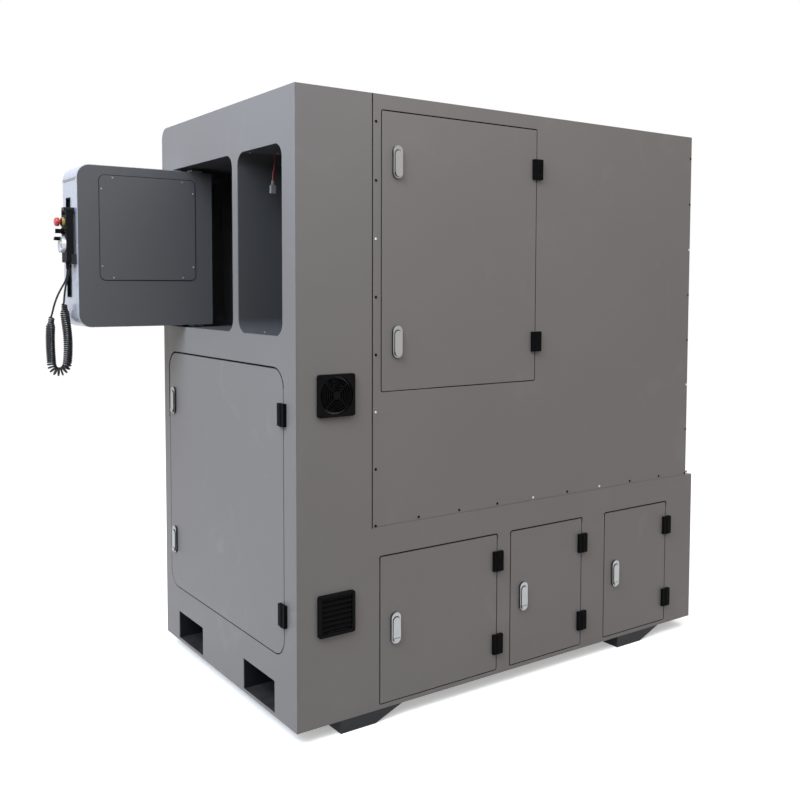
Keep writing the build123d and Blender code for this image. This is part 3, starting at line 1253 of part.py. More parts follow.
def coolant_tank():
    """Open coolant tank on the fork tubes, with a pump on a cross plate."""
    x1 = END_X - TANK_START
    y1 = REAR_Y - TANK_REAR_GAP
    z0 = BODY_Z + BASE_PLATE + POCKET_HEIGHT + 2 * TUBE_WALL
    place = Pos(x1 - TANK_LENGTH, y1 - TANK_DEPTH, z0)
    tank = slab(rounded(0, 0, TANK_LENGTH, TANK_DEPTH, TANK_CORNER), 0, TANK_HEIGHT)
    inner = rounded(
        TANK_WALL, TANK_WALL, TANK_LENGTH - 2 * TANK_WALL, TANK_DEPTH - 2 * TANK_WALL, TANK_CORNER - TANK_WALL
    )
    tank -= slab(inner, TANK_WALL, TANK_HEIGHT + CUT)
    plate = rect(TANK_CORNER, 0, 2 * PUMP_PLATE, TANK_DEPTH)
    tank += slab(plate, TANK_HEIGHT - TANK_WALL, TANK_HEIGHT)
    pump = Pos(TANK_CORNER + PUMP_PLATE, TANK_DEPTH / 2, TANK_HEIGHT) * rod(PUMP_RADIUS, PUMP_HEIGHT, "z")
    return place * (tank + pump)


PARTS = {
    "base_plate": base_plate(),
    "fork_tubes": fork_tubes(),
    "end_wall": end_wall(),
    "rear_wall": rear_wall(),
    "rear_panel": rear_panel(),
    "front_wall": front_wall(),
    "far_wall": far_wall(),
    "roof_panel": roof_panel(),
    "partition": partition(),
    "bay_liners": bay_liners(),
    "electrical_panel": electrical_panel(),
    "vent_guards": vent_guards(),
    "fan_rotor": fan_rotor(),
    "frame_hinges": frame_hinges(),
    "box_pivots": box_pivots(),
    "control_box": control_box(),
    "control_cover": box_side(cover_outline(0), BOX_Y1 + COVER_SHEET, BOX_Y1),
    "control_panel": control_panel(),
    "side_plate": side_plate(),
    "recessed_pull": pull(),
    "pendant_holder": pendant_holder(),
    "pendant_body": pendant_body(),
    "pendant_stop": pendant_stop(),
    "pendant_knob": pendant_knob(),
    "handwheel": handwheel(),
    "pendant_coil": tube("pendant_coil", COIL, COIL_RADIUS),
    "pendant_leads": Compound(
        [tube("relief_lead", RELIEF_LEAD, CABLE_RADIUS), tube("outlet_lead", OUTLET_LEAD, CABLE_RADIUS)]
    ),
    "bay_lead": tube("bay_lead", BAY_LEAD, LEAD_RADIUS),
    "lead_plug": lead_plug(),
    "front_door": front_door(),
    "front_window": front_window(),
    "bed_casting": bed_casting(),
    "column_casting": column_casting(),
    "saddle": saddle(),
    "table": table(),
    "spindle_head": spindle_head(),
    "spindle": spindle(),
    "coolant_tank": coolant_tank(),
}
for door in DOORS:
    PARTS[door.leaf] = door_leaf(door)
    PARTS[door.hinges] = door_hinges(door)
    PARTS[door.latches] = Compound([place * latch() for place in latch_places(door)])
    for name, place in zip(door.levers, latch_places(door)):
        PARTS[name] = place * lever()

for name, shape in PARTS.items():
    export_step(shape, f"parts/{name}.step")
print(len(PARTS), "parts")
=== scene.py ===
"""Finishes, fasteners, fittings, cords and studio round a packed milling machine."""

import json
import logging
import math
from dataclasses import dataclass, replace
from enum import Enum
from typing import Iterable, Optional, Sequence, Union

import bmesh
import bpy
from bmesh.types import BMesh, BMFace, BMVert
from bpy.types import Curve, Light, Material, Node, NodeSocket, NodeTree, Object
from mathutils import Euler, Matrix, Vector


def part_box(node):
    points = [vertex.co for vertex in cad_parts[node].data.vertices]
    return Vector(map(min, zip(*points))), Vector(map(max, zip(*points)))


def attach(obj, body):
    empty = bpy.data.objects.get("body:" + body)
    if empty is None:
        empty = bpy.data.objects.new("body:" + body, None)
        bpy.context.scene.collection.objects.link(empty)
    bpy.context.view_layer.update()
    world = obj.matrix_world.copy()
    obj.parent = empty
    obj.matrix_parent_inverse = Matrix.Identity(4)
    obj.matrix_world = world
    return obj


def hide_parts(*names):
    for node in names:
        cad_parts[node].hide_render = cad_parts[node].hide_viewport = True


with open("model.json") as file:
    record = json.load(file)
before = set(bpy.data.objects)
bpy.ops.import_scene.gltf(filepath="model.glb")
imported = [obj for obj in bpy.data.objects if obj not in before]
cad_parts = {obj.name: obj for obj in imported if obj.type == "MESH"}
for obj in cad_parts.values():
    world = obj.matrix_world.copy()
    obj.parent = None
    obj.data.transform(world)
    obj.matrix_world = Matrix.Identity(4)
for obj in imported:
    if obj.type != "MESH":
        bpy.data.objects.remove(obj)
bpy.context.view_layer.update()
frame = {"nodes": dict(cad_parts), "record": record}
LOG = logging.getLogger("milling_machine")
MM = 0.001
Colour = tuple[float, float, float]
Point = tuple[float, float, float]
Sizes = tuple[float, ...]
SocketOrValue = Union[NodeSocket, float, Sequence[float]]


def mm(*sizes: float) -> Sizes:
    """Returns sizes in millimetres as metres."""
    return tuple(size * MM for size in sizes)


class Texture(Enum):
    """Shared shader node groups: four surfaces that finishes choose from, dust, and painted shade on the
    sides of a piece.
    """

    POWDER = "powder_coat"
    MOULDED = "moulded_grain"
    BRUSHED = "brushed_lines"
    CAST = "cast_skin"
    DUST = "settled_dust"
    # Painted shade: darkens the sides of a piece against the faces that look out of its wall.
    SIDES = "faced_edge"


class Wall(Enum):
    """Outward directions of the walls that carry fittings."""

    REAR = (0.0, 1.0, 0.0)
    END = (1.0, 0.0, 0.0)
    FRONT = (0.0, -1.0, 0.0)
    UNDER = (0.0, 0.0, -1.0)
    UPPER = (0.0, 0.0, 1.0)

    def place(self, point: Sequence[float]) -> Matrix:
        """Returns the placement that stands a piece made on the XY plane on the wall.

        Args:
            point: Where the piece's origin comes, in metres.

        Returns:
            The matrix, with +Z out of the wall and +Y upwards, or along Y on a floor or ceiling.
        """
        out = Vector(self.value)
        up = Vector((0.0, out.z, 0.0)) if out.z else Vector((0.0, 0.0, 1.0))
        turn = Matrix((up.cross(out), up, out)).transposed().to_4x4()
        return Matrix.Translation(Vector(point)) @ turn


class Graph:
    """Adds nodes to one shader tree and joins their sockets."""

    def __init__(self, tree: NodeTree) -> None:
        """Keeps the tree whose nodes are added."""
        self.tree = tree

    def fill(self, node: Node, inputs: dict) -> None:
        """Links or sets the inputs of a node.

        Args:
            node: The node.
            inputs: Sockets to link from, or values, by the input's name or number.
        """
        for key, value in inputs.items():
            if isinstance(value, NodeSocket):
                self.tree.links.new(value, node.inputs[key])
            else:
                node.inputs[key].default_value = value

    def add(self, kind: str, inputs: Optional[dict] = None, **settings: object) -> Node:
        """Adds one node.

        Args:
            kind: Blender's name of the node type.
            inputs: Sockets to link from, or values, by the input's name or number.
            **settings: Attributes of the node.

        Returns:
            The new node.
        """
        node = self.tree.nodes.new(kind)
        for key, value in settings.items():
            setattr(node, key, value)
        self.fill(node, inputs or {})
        return node

    def math(self, operation: str, first: SocketOrValue, second: SocketOrValue) -> NodeSocket:
        """Adds a Math node and returns its result."""
        return self.add("ShaderNodeMath", {0: first, 1: second}, operation=operation).outputs[0]

    def noise(self, vector: NodeSocket, scale: SocketOrValue, detail: float,
              distortion: float = 0.0) -> NodeSocket:
        """Adds a Noise texture and returns its grey value."""
        inputs = {"Vector": vector, "Scale": scale, "Detail": detail, "Distortion": distortion}
        return self.add("ShaderNodeTexNoise", inputs).outputs[0]

    def remap(self, value: SocketOrValue, low: float, high: float, to_low: float = 0.0,
              to_high: float = 1.0) -> NodeSocket:
        """Adds a clamped Map Range node and returns its result."""
        inputs = {0: value, 1: low, 2: high, 3: to_low, 4: to_high}
        return self.add("ShaderNodeMapRange", inputs).outputs[0]

    def mix(self, factor: SocketOrValue, first: SocketOrValue, second: SocketOrValue) -> NodeSocket:
        """Adds a colour Mix node and returns its result."""
        return self.add("ShaderNodeMix", {0: factor, 6: first, 7: second}, data_type="RGBA").outputs[2]

    def scaled(self, colour: NodeSocket, factor: SocketOrValue) -> NodeSocket:
        """Multiplies a colour by a value."""
        return self.add("ShaderNodeVectorMath", {0: colour, "Scale": factor}, operation="SCALE").outputs[0]

    def varied(self, value: SocketOrValue, noise: NodeSocket, amount: SocketOrValue) -> NodeSocket:
        """Returns a value raised or lowered by a noise about its middle."""
        swing = self.math("MULTIPLY", self.math("SUBTRACT", noise, 0.5), amount)
        return self.math("ADD", value, swing)


class TextureGroups:
    """Builds each shared shader node group once."""

    def get(self, kind: Texture) -> NodeTree:
        """Returns a group, and builds it when it is first asked for.

        Args:
            kind: The group that is asked for.

        Returns:
            Its node tree.
        """
        makers = {
            Texture.POWDER: self.powder_coat, Texture.MOULDED: self.moulded_grain,
            Texture.BRUSHED: self.brushed_lines, Texture.CAST: self.cast_skin,
            Texture.DUST: self.dust, Texture.SIDES: self.sides,
        }
        return bpy.data.node_groups.get(kind.value) or makers[kind]()

    def start(self, kind: Texture, floats: Sequence[str] = ("Roughness", "Tone", "Grain"),
              outputs: Sequence[str] = ("Roughness", "Height")) -> tuple[Graph, dict, dict]:
        """Starts a group with a Colour input and output.

        Args:
            kind: The group.
            floats: Names of its number inputs.
            outputs: Names of its number outputs.

        Returns:
            The group's graph, its inputs by name and its texture coordinates by name.
        """
        tree = bpy.data.node_groups.new(kind.value, "ShaderNodeTree")
        for side, names in (("INPUT", floats), ("OUTPUT", outputs)):
            tree.interface.new_socket("Colour", in_out=side, socket_type="NodeSocketColor")
            for name in names:
                tree.interface.new_socket(name, in_out=side, socket_type="NodeSocketFloat")
        graph = Graph(tree)
        given, place = graph.add("NodeGroupInput"), graph.add("ShaderNodeTexCoord")
        return graph, dict(given.outputs.items()), dict(place.outputs.items())

    def close(self, graph: Graph, colour: NodeSocket, **values: NodeSocket) -> NodeTree:
        """Joins the results of a group to its outputs and returns the group."""
        graph.add("NodeGroupOutput", {"Colour": colour, **values})
        return graph.tree

    def toned(self, graph: Graph, given: dict, first: NodeSocket, second: NodeSocket) -> NodeSocket:
        """Returns a tone of about 1 that two noises vary by the group's Tone."""
        return graph.varied(graph.varied(1.0, first, given["Tone"]), second, given["Tone"])

    def powder_coat(self) -> NodeTree:
        """Sprayed paint: fine stipple, clouds of tone and faint wiped smears.

        Returns:
            The group.
        """
        graph, given, place = self.start(Texture.POWDER)
        stipple = graph.noise(place["Object"], given["Grain"], detail=3.0)
        cloud = graph.noise(place["Object"], scale=1.6, detail=3.0)
        smear = graph.noise(place["Object"], scale=5.0, detail=5.0, distortion=1.4)
        smear = graph.remap(smear, low=0.6, high=0.78)
        wiped = graph.math("MULTIPLY", smear, graph.math("MULTIPLY", given["Tone"], 0.5))
        tone = graph.math("ADD", self.toned(graph, given, cloud, stipple), wiped)
        roughness = graph.varied(given["Roughness"], stipple, amount=0.16)
        roughness = graph.math("SUBTRACT", roughness, graph.math("MULTIPLY", smear, 0.07))
        return self.close(graph, graph.scaled(given["Colour"], tone), Roughness=roughness, Height=stipple)

    def moulded_grain(self) -> NodeTree:
        """Moulded plastic or rubber: a pebbled grain and a soft unevenness.

        Returns:
            The group.
        """
        graph, given, place = self.start(Texture.MOULDED)
        inputs = {"Vector": place["Object"], "Scale": given["Grain"]}
        pebble = graph.add("ShaderNodeTexVoronoi", inputs).outputs[0]
        cloud = graph.noise(place["Object"], scale=14.0, detail=3.0)
        tone = self.toned(graph, given, cloud, pebble)
        roughness = graph.varied(given["Roughness"], cloud, amount=0.2)
        return self.close(graph, graph.scaled(given["Colour"], tone), Roughness=roughness, Height=pebble)

    def brushed_lines(self) -> NodeTree:
        """Rolled or brushed metal: long fine lines along Z over soft blooms.

        Returns:
            The group.
        """
        graph, given, place = self.start(Texture.BRUSHED)
        inputs = {"Vector": place["Object"], "Scale": (1.0, 1.0, 0.03)}
        lines = graph.noise(graph.add("ShaderNodeMapping", inputs).outputs[0], given["Grain"], detail=3.0)
        bloom = graph.noise(place["Object"], scale=22.0, detail=4.0, distortion=0.6)
        tone = self.toned(graph, given, lines, bloom)
        roughness = graph.varied(given["Roughness"], lines, amount=0.22)
        roughness = graph.varied(roughness, bloom, amount=0.16)
        return self.close(graph, graph.scaled(given["Colour"], tone), Roughness=roughness, Height=lines)

    def cast_skin(self) -> NodeTree:
        """Painted casting: rolling unevenness under a coarse skin.

        Returns:
            The group.
        """
        graph, given, place = self.start(Texture.CAST)
        rolling = graph.noise(place["Object"], scale=28.0, detail=3.0)
        skin = graph.noise(place["Object"], given["Grain"], detail=5.0)
        tone = self.toned(graph, given, rolling, skin)
        roughness = graph.varied(given["Roughness"], skin, amount=0.2)
        height = graph.math("ADD", rolling, graph.math("MULTIPLY", skin, 0.5))
        return self.close(graph, graph.scaled(given["Colour"], tone), Roughness=roughness, Height=height)

    def dust(self) -> NodeTree:
        """Pale dust that settles in patches on faces that look upwards.

        Returns:
            The group.
        """
        graph, given, place = self.start(Texture.DUST, ("Amount",), ("Mask",))
        upward = graph.add("ShaderNodeSeparateXYZ", {0: place["Normal"]}).outputs["Z"]
        patch = graph.noise(place["Object"], scale=30.0, detail=5.0)
        patch = graph.remap(patch, low=0.35, high=0.75, to_low=0.3)
        mask = graph.math("MULTIPLY", graph.remap(upward, low=0.2, high=0.9), patch)
        mask = graph.math("MULTIPLY", mask, given["Amount"])
        return self.close(graph, graph.mix(mask, given["Colour"], (0.45, 0.43, 0.4, 1.0)), Mask=mask)

    def sides(self) -> NodeTree:
        """Painted shade: colour of faces that look straight outwards, and a darker share of it on the sides
        in place of their shade.

        Returns:
            The group.
        """
        graph, given, place = self.start(Texture.SIDES, ("Out X", "Out Y", "Painted Shade Share"), ("Mask",))
        out = graph.add("ShaderNodeCombineXYZ", {0: given["Out X"], 1: given["Out Y"]}).outputs[0]
        inputs = {0: place["Normal"], 1: out}
        dot = graph.add("ShaderNodeVectorMath", inputs, operation="DOT_PRODUCT").outputs["Value"]
        mask = graph.remap(dot, low=0.35, high=0.8)
        share = graph.math("SUBTRACT", 1.0, given["Painted Shade Share"])
        level = graph.math("ADD", graph.math("MULTIPLY", mask, share), given["Painted Shade Share"])
        return self.close(graph, graph.scaled(given["Colour"], level), Mask=mask)


@dataclass(frozen=True)
class Finish:
    """One finish: its colour and gloss, and the texture that varies them."""

    name: str
    texture: Texture
    colour: Colour
    roughness: float
    metallic: float = 0.0
    tone: float = 0.12
    grain: float = 700.0
    bump: float = 0.12
    relief: float = 0.0004
    dust: float = 0.0
    coat: float = 0.0
    specular: float = 0.5
    transmission: float = 0.0
    # Wall that the outward faces look out of, and the share of colour kept on the other faces: painted shade
    # on the sides.
    out: Optional[Wall] = None
    painted_shade_share: float = 1.0

    def material(self) -> Material:
        """Builds the finish's material when it is first asked for.

        Returns:
            The material, new or found.
        """
        found = bpy.data.materials.get(self.name)
        if found:
            return found
        material = bpy.data.materials.new(self.name)
        material.use_nodes = True
        material.diffuse_color = (*self.colour, 1.0)
        graph = Graph(material.node_tree)
        groups = TextureGroups()
        inputs = {"Colour": (*self.colour, 1.0), "Roughness": self.roughness, "Tone": self.tone,
                  "Grain": self.grain}
        surface = graph.add("ShaderNodeGroup", inputs, node_tree=groups.get(self.texture)).outputs
        colour = surface["Colour"]
        # Painted shade on the sides: faces that do not look out of the wall keep only a share of the colour.
        if self.out:
            inputs = {"Colour": colour, "Out X": self.out.value[0], "Out Y": self.out.value[1],
                      "Painted Shade Share": self.painted_shade_share}
            shaded = graph.add("ShaderNodeGroup", inputs, node_tree=groups.get(Texture.SIDES))
            colour = shaded.outputs["Colour"]
        if self.dust:
            inputs = {"Colour": colour, "Amount": self.dust}
            settled = graph.add("ShaderNodeGroup", inputs, node_tree=groups.get(Texture.DUST))
            colour = settled.outputs["Colour"]
        inputs = {"Strength": self.bump, "Distance": self.relief, "Height": surface["Height"]}
        bump = graph.add("ShaderNodeBump", inputs)
        graph.fill(material.node_tree.nodes["Principled BSDF"], {
            "Base Color": colour, "Roughness": surface["Roughness"], "Normal": bump.outputs["Normal"],
            "Metallic": self.metallic, "Coat Weight": self.coat, "Specular IOR Level": self.specular,
            "Transmission Weight": self.transmission})
        return material


GREY_PAINT = Finish("warm_grey_powder_coat", Texture.POWDER, (0.165, 0.153, 0.146), 0.47, tone=0.16,
                    dust=0.1, specular=0.35)
BLACK_PAINT = Finish("black_satin_paint", Texture.POWDER, (0.012, 0.012, 0.013), 0.42, tone=0.3, dust=0.06,
                     specular=0.25)
LINER_PAINT = Finish("dark_liner_paint", Texture.POWDER, (0.057, 0.056, 0.057), 0.5, tone=0.14,
                     specular=0.3)
BOX_PAINT = Finish("box_powder_coat", Texture.POWDER, (0.077, 0.074, 0.074), 0.44, tone=0.1, dust=0.08,
                   specular=0.3)
SILVER_PLATE = Finish("pale_satin_plate", Texture.BRUSHED, (0.47, 0.49, 0.55), 0.3, 0.55, tone=0.06,
                      grain=260.0, bump=0.05)
GALVANISED = Finish("galvanised_sheet", Texture.BRUSHED, (0.5, 0.51, 0.52), 0.45, 0.85, tone=0.16,
                    grain=120.0)
ZINC = Finish("bright_zinc", Texture.BRUSHED, (0.36, 0.36, 0.355), 0.32, 0.8, tone=0.1, grain=600.0,
              bump=0.05)
STEEL = Finish("ground_steel", Texture.BRUSHED, (0.42, 0.42, 0.43), 0.36, 1.0, grain=420.0)
PIVOT_STEEL = Finish("plated_pivot_blocks", Texture.BRUSHED, (0.6, 0.6, 0.58), 0.36, 0.5, tone=0.1,
                     grain=420.0)
CASTING = Finish("painted_casting", Texture.CAST, (0.3, 0.32, 0.33), 0.45, tone=0.1, grain=420.0, bump=0.3,
                 relief=0.0008, dust=0.1)
BLACK_PLASTIC = Finish("black_moulded_plastic", Texture.MOULDED, (0.004, 0.004, 0.0044), 0.55, tone=0.3,
                       grain=1400.0, dust=0.01, specular=0.025)
GREY_PLASTIC = Finish("dark_moulded_housing", Texture.MOULDED, (0.006, 0.006, 0.0065), 0.5, tone=0.25,
                      grain=1600.0, specular=0.06)
GUARD_BLACK = Finish("black_guard_plastic", Texture.MOULDED, (0.004, 0.0041, 0.0043), 0.5, tone=0.3,
                     grain=1100.0, specular=0.04)
RED_PLASTIC = Finish("red_moulded_plastic", Texture.MOULDED, (0.36, 0.012, 0.014), 0.3, grain=1800.0,
                     bump=0.04, coat=0.2)
WHITE_PLASTIC = Finish("white_moulded_plastic", Texture.MOULDED, (0.5, 0.49, 0.46), 0.42, tone=0.08,
                       grain=1500.0)
CORD_BLACK = Finish("black_cord_sheath", Texture.MOULDED, (0.012, 0.012, 0.013), 0.4, tone=0.25,
                    grain=2600.0, specular=0.25)
RED_LEAD = Finish("red_lead_sheath", Texture.MOULDED, (0.36, 0.03, 0.025), 0.42, tone=0.15, grain=2600.0)
WINDOW = Finish("clear_window_pane", Texture.MOULDED, (0.86, 0.9, 0.9), 0.06, tone=0.02, grain=60.0,
                bump=0.01, transmission=1.0)
YELLOW_PLASTIC = Finish("ochre_moulded_plastic", Texture.MOULDED, (0.24, 0.16, 0.03), 0.36, tone=0.1,
                        grain=1600.0)
SILVER_WHEEL = Finish("satin_aluminium_wheel", Texture.BRUSHED, (0.62, 0.63, 0.62), 0.34, 0.6, tone=0.08,
                      grain=800.0)
DARK_SCREW = Finish("blackened_screw", Texture.BRUSHED, (0.004, 0.004, 0.004), 0.45, tone=0.2, grain=900.0,
                    specular=0.03)
BRIGHT_SCREW = Finish("plated_screw", Texture.BRUSHED, (0.55, 0.54, 0.52), 0.3, 0.85, tone=0.15, grain=900.0)
DULL_SCREW = Finish("dull_plated_screw", Texture.BRUSHED, (0.26, 0.26, 0.26), 0.4, 0.6, tone=0.15,
                    grain=900.0)
PLUG_NYLON = Finish("grey_plug_nylon", Texture.MOULDED, (0.2, 0.2, 0.19), 0.45, tone=0.1, grain=1500.0)
SEAL_RUBBER = Finish("black_seal_rubber", Texture.MOULDED, (0.004, 0.004, 0.004), 0.7, tone=0.3, grain=900.0,
                     specular=0.03)
FILTER_FIBRE = Finish("dark_filter_fibre", Texture.CAST, (0.012, 0.012, 0.012), 0.9, tone=0.6, grain=900.0,
                      bump=0.8, relief=0.0015, specular=0.05)
SCREEN_GLASS = Finish("dark_screen_glass", Texture.MOULDED, (0.006, 0.007, 0.009), 0.08, tone=0.1,
                      grain=300.0, bump=0.01, coat=0.6)
KEY_GREY = Finish("pale_key_caps", Texture.MOULDED, (0.4, 0.41, 0.43), 0.42, tone=0.08, grain=1500.0)
KEY_BLUE = Finish("blue_key_caps", Texture.MOULDED, (0.05, 0.1, 0.24), 0.42, tone=0.1, grain=1500.0)
KEY_GREEN = Finish("green_key_caps", Texture.MOULDED, (0.03, 0.2, 0.06), 0.42, tone=0.1, grain=1500.0)
DRIVE_CASE = Finish("drive_front_plastic", Texture.MOULDED, (0.12, 0.125, 0.13), 0.5, tone=0.1, grain=1200.0)
DUCT_GREY = Finish("pale_duct_plastic", Texture.MOULDED, (0.34, 0.35, 0.36), 0.5, tone=0.08, grain=900.0)
SLOT_FINISHES = {
    "grey_paint": GREY_PAINT, "black_paint": BLACK_PAINT, "liner_paint": LINER_PAINT, "box_paint": BOX_PAINT,
    "silver_plate": SILVER_PLATE, "galvanised": GALVANISED, "zinc": ZINC, "steel": STEEL, "casting": CASTING,
    "black_plastic": BLACK_PLASTIC, "grey_plastic": GREY_PLASTIC, "red_plastic": RED_PLASTIC,
    "white_plastic": WHITE_PLASTIC, "cord_black": CORD_BLACK, "window": WINDOW,
}


def rounded(bm: BMesh, geometry: Iterable, width: float, segments: int = 2, affect: str = "EDGES") -> None:
    """Bevels edges or corners with a round profile."""
    bmesh.ops.bevel(bm, geom=list(geometry), offset=width, offset_type="OFFSET", affect=affect,
                    segments=segments, profile=0.5, material=-1, clamp_overlap=True)


def plate(low: Vector, high: Vector, edge: float) -> BMesh:
    """Makes a block between two corners with rounded edges.

    Args:
        low: Lowest corner, in metres.
        high: Highest corner, in metres.
        edge: Radius of its edges.

    Returns:
        The block's mesh.
    """
    bm = bmesh.new()
    scale = Matrix.Diagonal((*(high - low), 1.0))
    bmesh.ops.create_cube(bm, size=1.0, matrix=Matrix.Translation((high + low) / 2) @ scale)
    rounded(bm, bm.edges, edge)
    return bm


def flat_outline(width: float, height: float, corner: float) -> BMesh:
    """Makes one flat face on the XY plane, centred on the origin.

    Args:
        width: Its width, along X.
        height: Its height, along Y.
        corner: Radius of its corners, square where it is zero.

    Returns:
        The face's mesh.
    """
    bm = bmesh.new()
    scale = Matrix.Diagonal((width, height, 1, 1))
    bmesh.ops.create_grid(bm, x_segments=1, y_segments=1, size=0.5, matrix=scale)
    if corner:
        rounded(bm, bm.verts, corner, 8 if corner > 5 * MM else 3, "VERTICES")
    return bm


def raise_up(bm: BMesh, height: float) -> None:
    """Extrudes a flat mesh upwards into a closed solid.

    Args:
        bm: The mesh, on the XY plane.
        height: How far it rises.
    """
    made = bmesh.ops.extrude_face_region(bm, geom=bm.faces[:])["geom"]
    upper = [item for item in made if isinstance(item, BMVert)]
    bmesh.ops.translate(bm, vec=(0.0, 0.0, height), verts=upper)
    bmesh.ops.recalc_face_normals(bm, faces=bm.faces)


def panel(width: float, height: float, thickness: float, corner: float = 0.0, edge: float = 0.0) -> BMesh:
    """Makes a flat piece that stands on the XY plane.

    Args:
        width: Its width, along X.
        height: Its height, along Y.
        thickness: Its thickness, along Z.
        corner: Radius of its corners.
        edge: Radius of the edges of its upper face.

    Returns:
        The piece's mesh.
    """
    bm = flat_outline(width, height, corner)
    raise_up(bm, thickness)
    if edge:
        bm.normal_update()
        rounded(bm, {line for face in bm.faces if face.normal.z > 0.99 for line in face.edges}, edge)
    return bm


def band(width: float, height: float, breadth: float, thickness: float, corner: float) -> BMesh:
    """Makes a flat frame that stands on the XY plane.

    Args:
        width: Its width outside, along X.
        height: Its height outside, along Y.
        breadth: Breadth of its four sides.
        thickness: Its thickness, along Z.
        corner: Radius of its outer corners.

    Returns:
        The frame's mesh.
    """
    bm = flat_outline(width, height, corner)
    inside = bm.faces[:]
    bmesh.ops.inset_region(bm, faces=inside, thickness=breadth, use_boundary=True, use_even_offset=True)
    bmesh.ops.delete(bm, geom=inside, context="FACES_ONLY")
    raise_up(bm, thickness)
    return bm


def turned(profile: Sequence[Sequence[float]], segments: int) -> BMesh:
    """Spins a profile of radius and height about Z.

    Args:
        profile: Points from the axis outwards and back, as radius and height.
        segments: Steps of the full turn.

    Returns:
        The turned mesh, with normals that point outwards.
    """
    bm = bmesh.new()
    points = [bm.verts.new((radius, 0.0, height)) for radius, height in profile]
    edges = [bm.edges.new(pair) for pair in zip(points, points[1:])]
    bmesh.ops.spin(bm, geom=points + edges, axis=(0, 0, 1), cent=(0, 0, 0), angle=math.tau, steps=segments,
                   use_merge=True)
    bmesh.ops.remove_doubles(bm, verts=bm.verts, dist=1e-6)
    bmesh.ops.recalc_face_normals(bm, faces=bm.faces)
    return bm


def merged(parts: Iterable[BMesh]) -> BMesh:
    """Joins several meshes into one.

    Args:
        parts: The meshes, which are freed.

    Returns:
        The joined mesh.
    """
    whole = bmesh.new()
    for part in parts:
        mesh = bpy.data.meshes.new("merge")
        part.to_mesh(mesh)
        part.free()
        whole.from_mesh(mesh)
        bpy.data.meshes.remove(mesh)
    return whole


def moved(bm: BMesh, matrix: Matrix) -> BMesh:
    """Moves and turns a whole mesh and returns it."""
    bmesh.ops.transform(bm, matrix=matrix, verts=bm.verts)
    return bm


def piece(name: str, bm: BMesh, finish: Finish, body: str, slot: str) -> Object:
    """Makes an object of a mesh and lets it ride on a body.

    Args:
        name: Name of the piece.
        bm: Its mesh, which is freed.
        finish: Its finish.
        body: The body that it moves with.
        slot: The record's slot that its finish belongs to; not used.

    Returns:
        The new object.
    """
    mesh = bpy.data.meshes.new(name)
    bm.to_mesh(mesh)
    bm.free()
    mesh.shade_smooth()
    mesh.set_sharp_from_angle(angle=math.radians(20))
    mesh.materials.append(finish.material())
    thing = bpy.data.objects.new(name, mesh)
    bpy.context.scene.collection.objects.link(thing)
    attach(thing, body)
    LOG.info("%s: %d faces on %s", name, len(mesh.polygons), body)
    return thing


def panels(name: str, places: Sequence[Matrix], finish: Finish, body: str, slot: str, *forms: Sizes) -> None:
    """Sets like panels at many places, as one piece.

    Args:
        name: Name of the piece.
        places: Placements of the panels.
        finish: Their finish.
        body: The body that they move with.
        slot: The record's slot that the finish belongs to.
        *forms: Sizes of each panel that stands at a place, as panel takes them.
    """
    parts = [moved(panel(*form), place) for place in places for form in forms]
    piece(name, merged(parts), finish, body, slot)


def paint_node(name: str, finish: Finish) -> None:
    """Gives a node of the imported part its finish.

    Args:
        name: The node.
        finish: Its finish.
    """
    node = frame["nodes"][name]
    node.data.materials.clear()
    node.data.materials.append(finish.material())


def soften_node(name: str, width: float, segments: int = 2) -> None:
    """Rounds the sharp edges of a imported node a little, with modifiers.

    Args:
        name: The node.
        width: Width of the rounding, in metres.
        segments: Faces across it.
    """
    node = frame["nodes"][name]
    weld = node.modifiers.new("weld", "WELD")
    weld.merge_threshold = 1e-5
    bevel = node.modifiers.new("soft_edges", "BEVEL")
    bevel.width = width
    bevel.segments = segments
    bevel.limit_method = "ANGLE"
    bevel.angle_limit = math.radians(40)
    bevel.harden_normals = True


@dataclass(frozen=True)
class Screws:
    """Pan-head screws with a socket, as one piece on a wall."""

    radius: float = 4.6 * MM
    height: float = 2.4 * MM
    socket: float = 2.2 * MM
    crown_share: float = 0.72
    seat_share: float = 0.45
    segments: int = 12

    def head(self) -> BMesh:
        """Makes one head that stands on the XY plane."""
        crown, seat = self.radius * self.crown_share, self.height * self.seat_share
        return turned([(0.0, seat), (self.socket, seat), (self.socket, self.height), (crown, self.height),
                       (self.radius, seat), (self.radius, 0.0), (0.0, 0.0)], self.segments)

    def build(self, name: str, places: Sequence[Point], wall: Wall, finish: Finish, body: str) -> None:
        """Sets heads at places on a wall.

        Args:
            name: Name of the piece.
            places: Points on the wall's outer face, in metres.
            wall: The wall that they stand on.
            finish: Finish of the heads.
            body: The body that they ride on.
        """
        heads = [moved(self.head(), wall.place(place)) for place in places]
        piece(name, merged(heads), finish, body, "steel")


@dataclass(frozen=True)
class Lamp:
    """One large soft lamp: where it hangs, its power in watts and its colour."""

    name: str
    place: Point
    power: float
    colour: Colour


